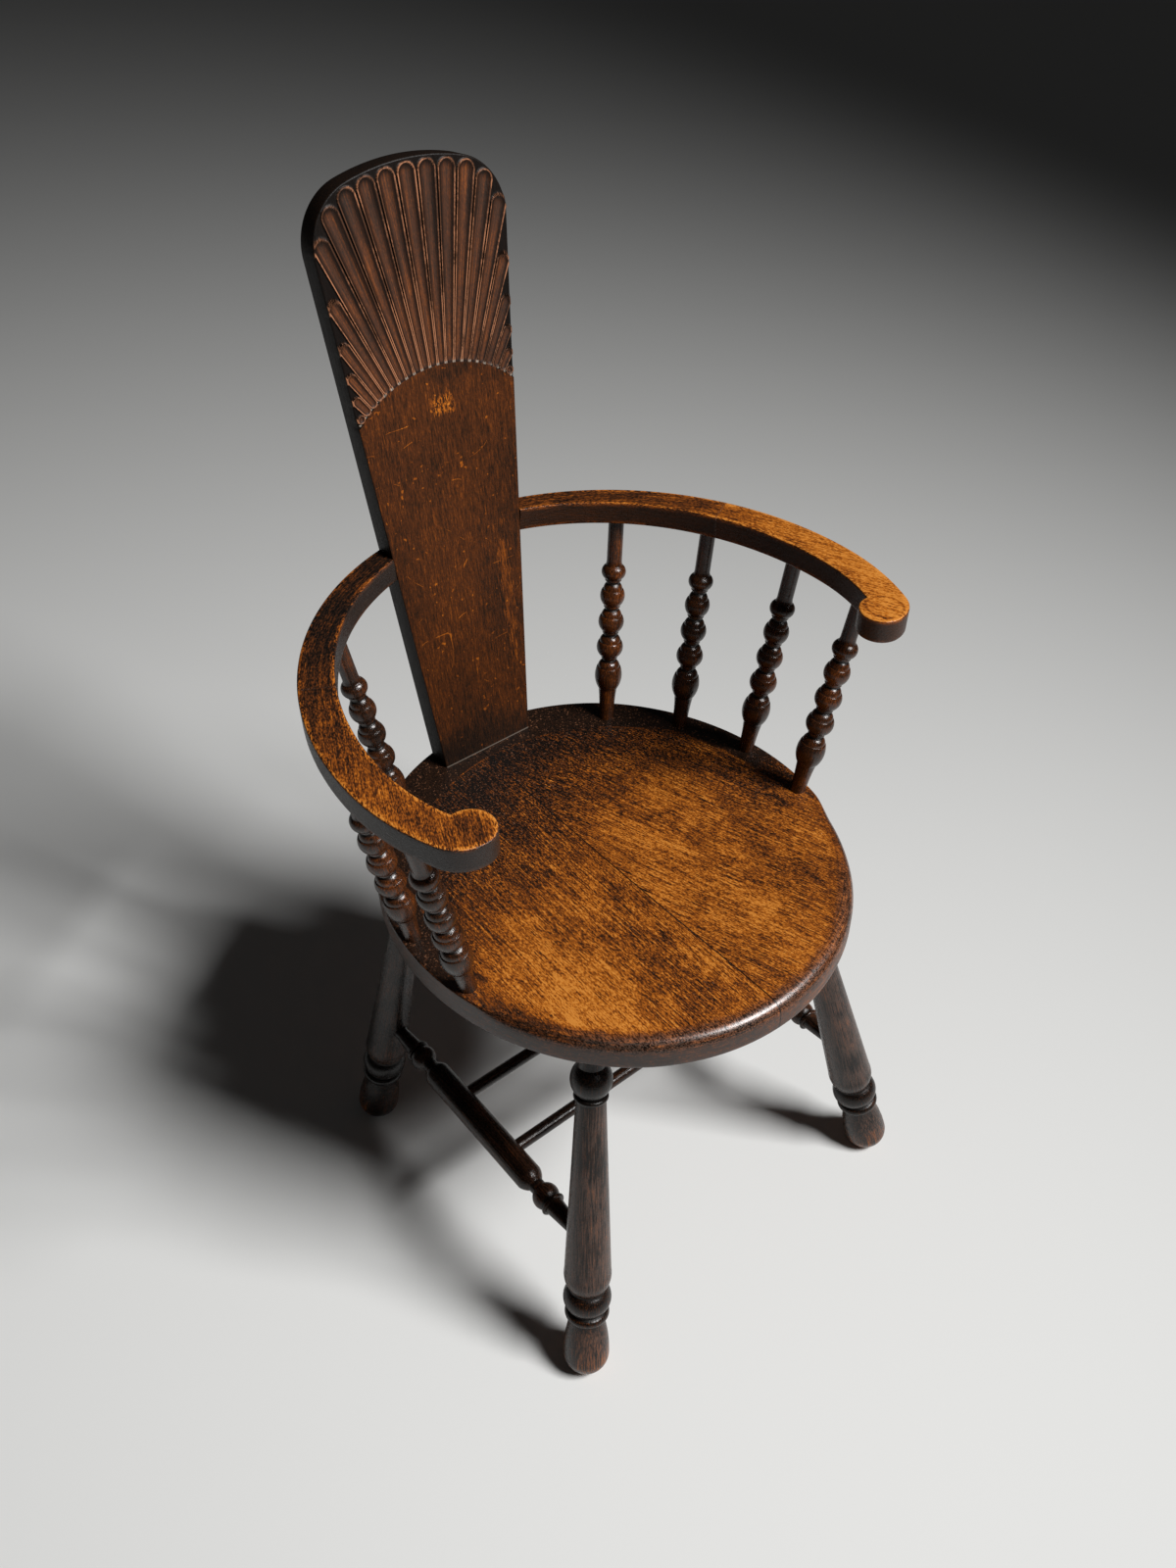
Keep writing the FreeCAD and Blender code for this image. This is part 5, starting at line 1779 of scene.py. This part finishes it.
    def blank(self):
        """The splat before carving, with what the carving needs to know stored on its points."""
        splat, fan = chair("splat"), chair("fan")
        bm = bmesh.new()
        carved = bm.verts.layers.float.new("carved")
        near = bm.verts.layers.float_vector.new("near_flute")
        following = bm.verts.layers.float_vector.new("next_flute")
        flutes = self.flutes()
        centre = self.fan_centre()
        last = self.fan_angle()
        angles = [a for a in self.fan_columns(fan) if abs(a) < last]

        def mark(vert, place, angle):
            radius = (place - centre).length
            marks = [(radius, offset, reach) for offset, reach in self.nearest(flutes, fan, angle)]
            vert[carved] = 1.0
            vert[near], vert[following] = marks

        columns, rim = [], []
        for angle in angles:
            edge, out = self.rim(angle, splat.ease)
            start = centre + Vector((math.sin(angle), math.cos(angle))) * fan.arc
            column = []
            for row in range(fan.rows + 1):
                s = 1 - (1 - row / fan.rows) ** self.TIP_CROWDING
                place = start.lerp(edge, s)
                vert = bm.verts.new(splat_point(place.x, place.y, 0))
                if row:
                    mark(vert, place, angle)
                column.append(vert)
            columns.append(column)
            rim.append((edge, out, angle, column[-1]))
        for first, second in zip(columns, columns[1:]):
            for row in range(fan.rows):
                bm.faces.new((first[row], second[row], second[row + 1], first[row + 1]))

        side_out = self.side_out()
        arc_end, _ = self.rim(last, splat.ease)
        heights = [arc_end.y * (1 - row / self.SIDE_ROWS) for row in range(self.SIDE_ROWS + 1)]
        lower = [Vector((self.face_half_width(height), height)) for height in heights]
        loop = []
        for place in reversed(lower):
            mirrored = Vector((-place.x, place.y))
            loop.append((mirrored, Vector((-side_out.x, side_out.y)), None, None))
        loop += rim
        loop += [(place, side_out, None, None) for place in lower]

        section = eased_edge(splat.ease)
        rows = [(inset, depth, False) for inset, depth in section]
        rows += [(inset, depth, True) for inset, depth in reversed(section)]
        lean = math.tan(splat.lean)
        loops = []
        for row, (inset, depth, from_back) in enumerate(rows):
            made = []
            for index, (place, out, angle, vert) in enumerate(loop):
                if row == 0 and vert:
                    made.append(vert)
                    continue
                edge = place + out * (splat.ease - inset)
                deep = splat_depth(edge.y) - depth if from_back else depth
                if index in (0, len(loop) - 1):
                    edge.x += math.copysign(math.tan(splat.flare) * deep * lean, edge.x)
                    edge.y = deep * lean
                vert = bm.verts.new(splat_point(edge.x, edge.y, deep))
                if angle is not None and not from_back:
                    mark(vert, place, angle)
                made.append(vert)
            loops.append(made)
        for first, second in zip(loops, loops[1:]):
            for i in range(len(first) - 1):
                bm.faces.new((first[i], first[i + 1], second[i + 1], second[i]))
        left = loops[0][: self.SIDE_ROWS + 1]
        right = loops[0][-self.SIDE_ROWS - 1 :]
        arc = [column[0] for column in columns]
        bm.faces.new(left + arc + right)
        # Slivers between the last columns of the fan and the splat's sides
        bm.faces.new([left[-1]] + columns[0][::-1])
        bm.faces.new([right[0]] + columns[-1])
        bm.faces.new(reversed(loops[-1]))
        self.add_tenon(bm, loops)
        bmesh.ops.recalc_face_normals(bm, faces=bm.faces)
        return bm

    def add_tenon(self, bm, loops):
        """Adds the foot with its wedged tenon."""
        splat, seat = chair("splat"), chair("seat")
        half = splat.foot_half_width - splat.side_shoulder
        under = -seat.thickness
        kerf = half - splat.wedge_inset
        butt, tip = splat.wedge_butt / 2 + JOINT_GAP, splat.wedge_tip / 2 + JOINT_GAP
        notch_top = splat.wedge_length + JOINT_GAP
        profile = [(-half, 0), (half, 0), (half, under)]
        for middle in (kerf, -kerf):
            profile += [
                (middle + butt, under),
                (middle + tip, under + notch_top),
                (middle - tip, under + notch_top),
                (middle - butt, under),
            ]
        profile.append((-half, under))
        faces = []
        for depth in (splat.face_shoulder, splat.thickness - splat.face_shoulder):
            made = []
            for x, level in profile:
                height = (level + depth * math.sin(splat.lean)) / math.cos(splat.lean)
                made.append(bm.verts.new(splat_point(x, height, depth)))
            faces.append(made)
        front, back = faces
        for i in range(1, len(profile)):
            j = (i + 1) % len(profile)
            bm.faces.new((front[i], front[j], back[j], back[i]))
        bm.faces.new(front)
        bm.faces.new(reversed(back))
        left = [loop[0] for loop in loops]
        right = [loop[-1] for loop in loops]
        bm.faces.new((left[0], right[0], front[1], front[0]))
        bm.faces.new((right[-1], left[-1], back[0], back[1]))
        bm.faces.new(right + [back[1], front[1]])
        bm.faces.new(left[::-1] + [front[0], back[0]])

    def execute(self, context):
        piece = piece_from("back_splat_carved", self.blank())
        self.carve(piece, oak("splat_finish", dress_splat, gloss=0.14))
        bore(piece, [arm_pin()] + rods_on_side([arm_pin()], -1))
        crease(piece, CARVED_CREASE)
        stand_in(piece, "back_splat")
        return {"FINISHED"}


class ARMCHAIR_OT_joinery(bpy.types.Operator):
    """Finish the dowels and wedges, which keep their own solids"""

    bl_idname = "armchair.joinery"
    bl_label = "Dowels and wedges"

    def execute(self, context):
        finish = oak("hidden_finish", dress_hidden, gloss=0.2)
        for node in ("seat_dowels", "arm_dowels", "splat_wedges"):
            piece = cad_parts[node]
            piece.data.materials.clear()
            piece.data.materials.append(finish)
        return {"FINISHED"}


class ARMCHAIR_OT_stage(bpy.types.Operator):
    """Lay the floor, hang the light and place the camera"""

    bl_idname = "armchair.stage"
    bl_label = "Stage"

    FLOOR_HALF = 20.0
    FLOOR_ROUGHNESS = 0.75
    SEEN_STRENGTH = 0.55
    SENSOR = 36

    def floor(self, stage):
        half = self.FLOOR_HALF
        corners = [(-half, -half, 0), (half, -half, 0), (half, half, 0), (-half, half, 0)]
        mesh = bpy.data.meshes.new("floor")
        mesh.from_pydata(corners, [], [(0, 1, 2, 3)])
        floor = new_piece("floor", mesh)
        material = bpy.data.materials.new("pale_floor")
        material.use_nodes = True
        shader = material.node_tree.nodes["Principled BSDF"]
        shader.inputs["Base Color"].default_value = stage.floor
        shader.inputs["Roughness"].default_value = self.FLOOR_ROUGHNESS
        mesh.materials.append(material)

    def world(self, stage):
        world = bpy.data.worlds.new("even_light")
        bpy.context.scene.world = world
        world.use_nodes = True
        net = Net(world.node_tree)
        net.tree.nodes.clear()
        path = net.node("ShaderNodeLightPath")
        seen = net.most(path.out("Is Camera Ray"), path.out("Is Transmission Ray"))
        strength = stage.fill + seen * (self.SEEN_STRENGTH - stage.fill)
        background = net.node("ShaderNodeBackground", None, {"Strength": strength})
        output = net.tree.nodes.new("ShaderNodeOutputWorld")
        net.tree.links.new(background.socket, output.inputs["Surface"])

    def lamp(self, name, place, aim, size, power):
        light = bpy.data.lights.new(name, "AREA")
        light.shape = "RECTANGLE"
        light.size, light.size_y = size
        light.energy = power
        lamp = bpy.data.objects.new(name, light)
        bpy.context.scene.collection.objects.link(lamp)
        lamp.location = place
        lamp.rotation_euler = (Vector(aim) - lamp.location).to_track_quat("-Z", "Y").to_euler()
        lamp.visible_camera = False
        return lamp

    def lamps(self, stage):
        size = (stage.key_width, stage.key_height)
        key = self.lamp("key", stage.key_place, stage.key_aim, size, stage.key_power)
        key.data.spread = stage.key_spread
        above = Vector(stage.back_place) + Vector((0, 0, 1))
        size = (stage.back_size, stage.back_size)
        back = self.lamp("back", stage.back_place, above, size, stage.back_power)
        back.visible_glossy = False

    def camera(self, stage):
        data = bpy.data.cameras.new("camera")
        data.lens = stage.lens
        data.sensor_width = self.SENSOR
        camera = bpy.data.objects.new("camera", data)
        bpy.context.scene.collection.objects.link(camera)
        yaw, pitch, roll = stage.camera_yaw, stage.camera_pitch, stage.camera_roll
        forward = Vector((
            -math.sin(yaw) * math.cos(pitch), math.cos(yaw) * math.cos(pitch), math.sin(pitch)
        ))
        level = Vector((math.cos(yaw), math.sin(yaw), 0))
        upright = level.cross(forward)
        right = level * math.cos(roll) + upright * math.sin(roll)
        up = upright * math.cos(roll) - level * math.sin(roll)
        turned = Matrix((right, up, -forward)).transposed().to_4x4()
        camera.matrix_world = Matrix.Translation(stage.camera_place) @ turned
        bpy.context.scene.camera = camera

    def execute(self, context):
        stage = chair("stage")
        self.floor(stage)
        self.world(stage)
        self.lamps(stage)
        self.camera(stage)
        context.scene.view_settings.view_transform = "Standard"
        return {"FINISHED"}


class ARMCHAIR_PT_panel(bpy.types.Panel):
    """Lists the chair's pieces and their sizes"""

    bl_idname = "ARMCHAIR_PT_panel"
    bl_label = "Bobbin Armchair"
    bl_space_type = "VIEW_3D"
    bl_region_type = "UI"
    bl_category = "Armchair"

    def draw(self, context):
        for operator in OPERATORS:
            self.layout.operator(operator.bl_idname)
        for name in SETTINGS:
            box = self.layout.box()
            group = getattr(context.scene, name)
            for key in group.__annotations__:
                box.prop(group, key)


SETTINGS = {
    "armchair_seat": SeatSizes,
    "armchair_splat": SplatSizes,
    "armchair_fan": FanSizes,
    "armchair_arm": ArmSizes,
    "armchair_spindle": SpindleSizes,
    "armchair_leg": LegSizes,
    "armchair_stretcher": StretcherSizes,
    "armchair_oak": OakColours,
    "armchair_stage": StageSettings,
}

OPERATORS = (
    ARMCHAIR_OT_stage,
    ARMCHAIR_OT_spindles,
    ARMCHAIR_OT_legs,
    ARMCHAIR_OT_stretchers,
    ARMCHAIR_OT_seat,
    ARMCHAIR_OT_arms,
    ARMCHAIR_OT_splat,
    ARMCHAIR_OT_joinery,
)


def register():
    for cls in (*SETTINGS.values(), *OPERATORS, ARMCHAIR_PT_panel):
        bpy.utils.register_class(cls)
    for name, group in SETTINGS.items():
        setattr(bpy.types.Scene, name, PointerProperty(type=group))


def unregister():
    for name in SETTINGS:
        delattr(bpy.types.Scene, name)
    for cls in reversed((*SETTINGS.values(), *OPERATORS, ARMCHAIR_PT_panel)):
        bpy.utils.unregister_class(cls)


def main():
    register()
    for operator in OPERATORS:
        group, name = operator.bl_idname.split(".")
        getattr(getattr(bpy.ops, group), name)()


if __name__ == "__main__":
    main()
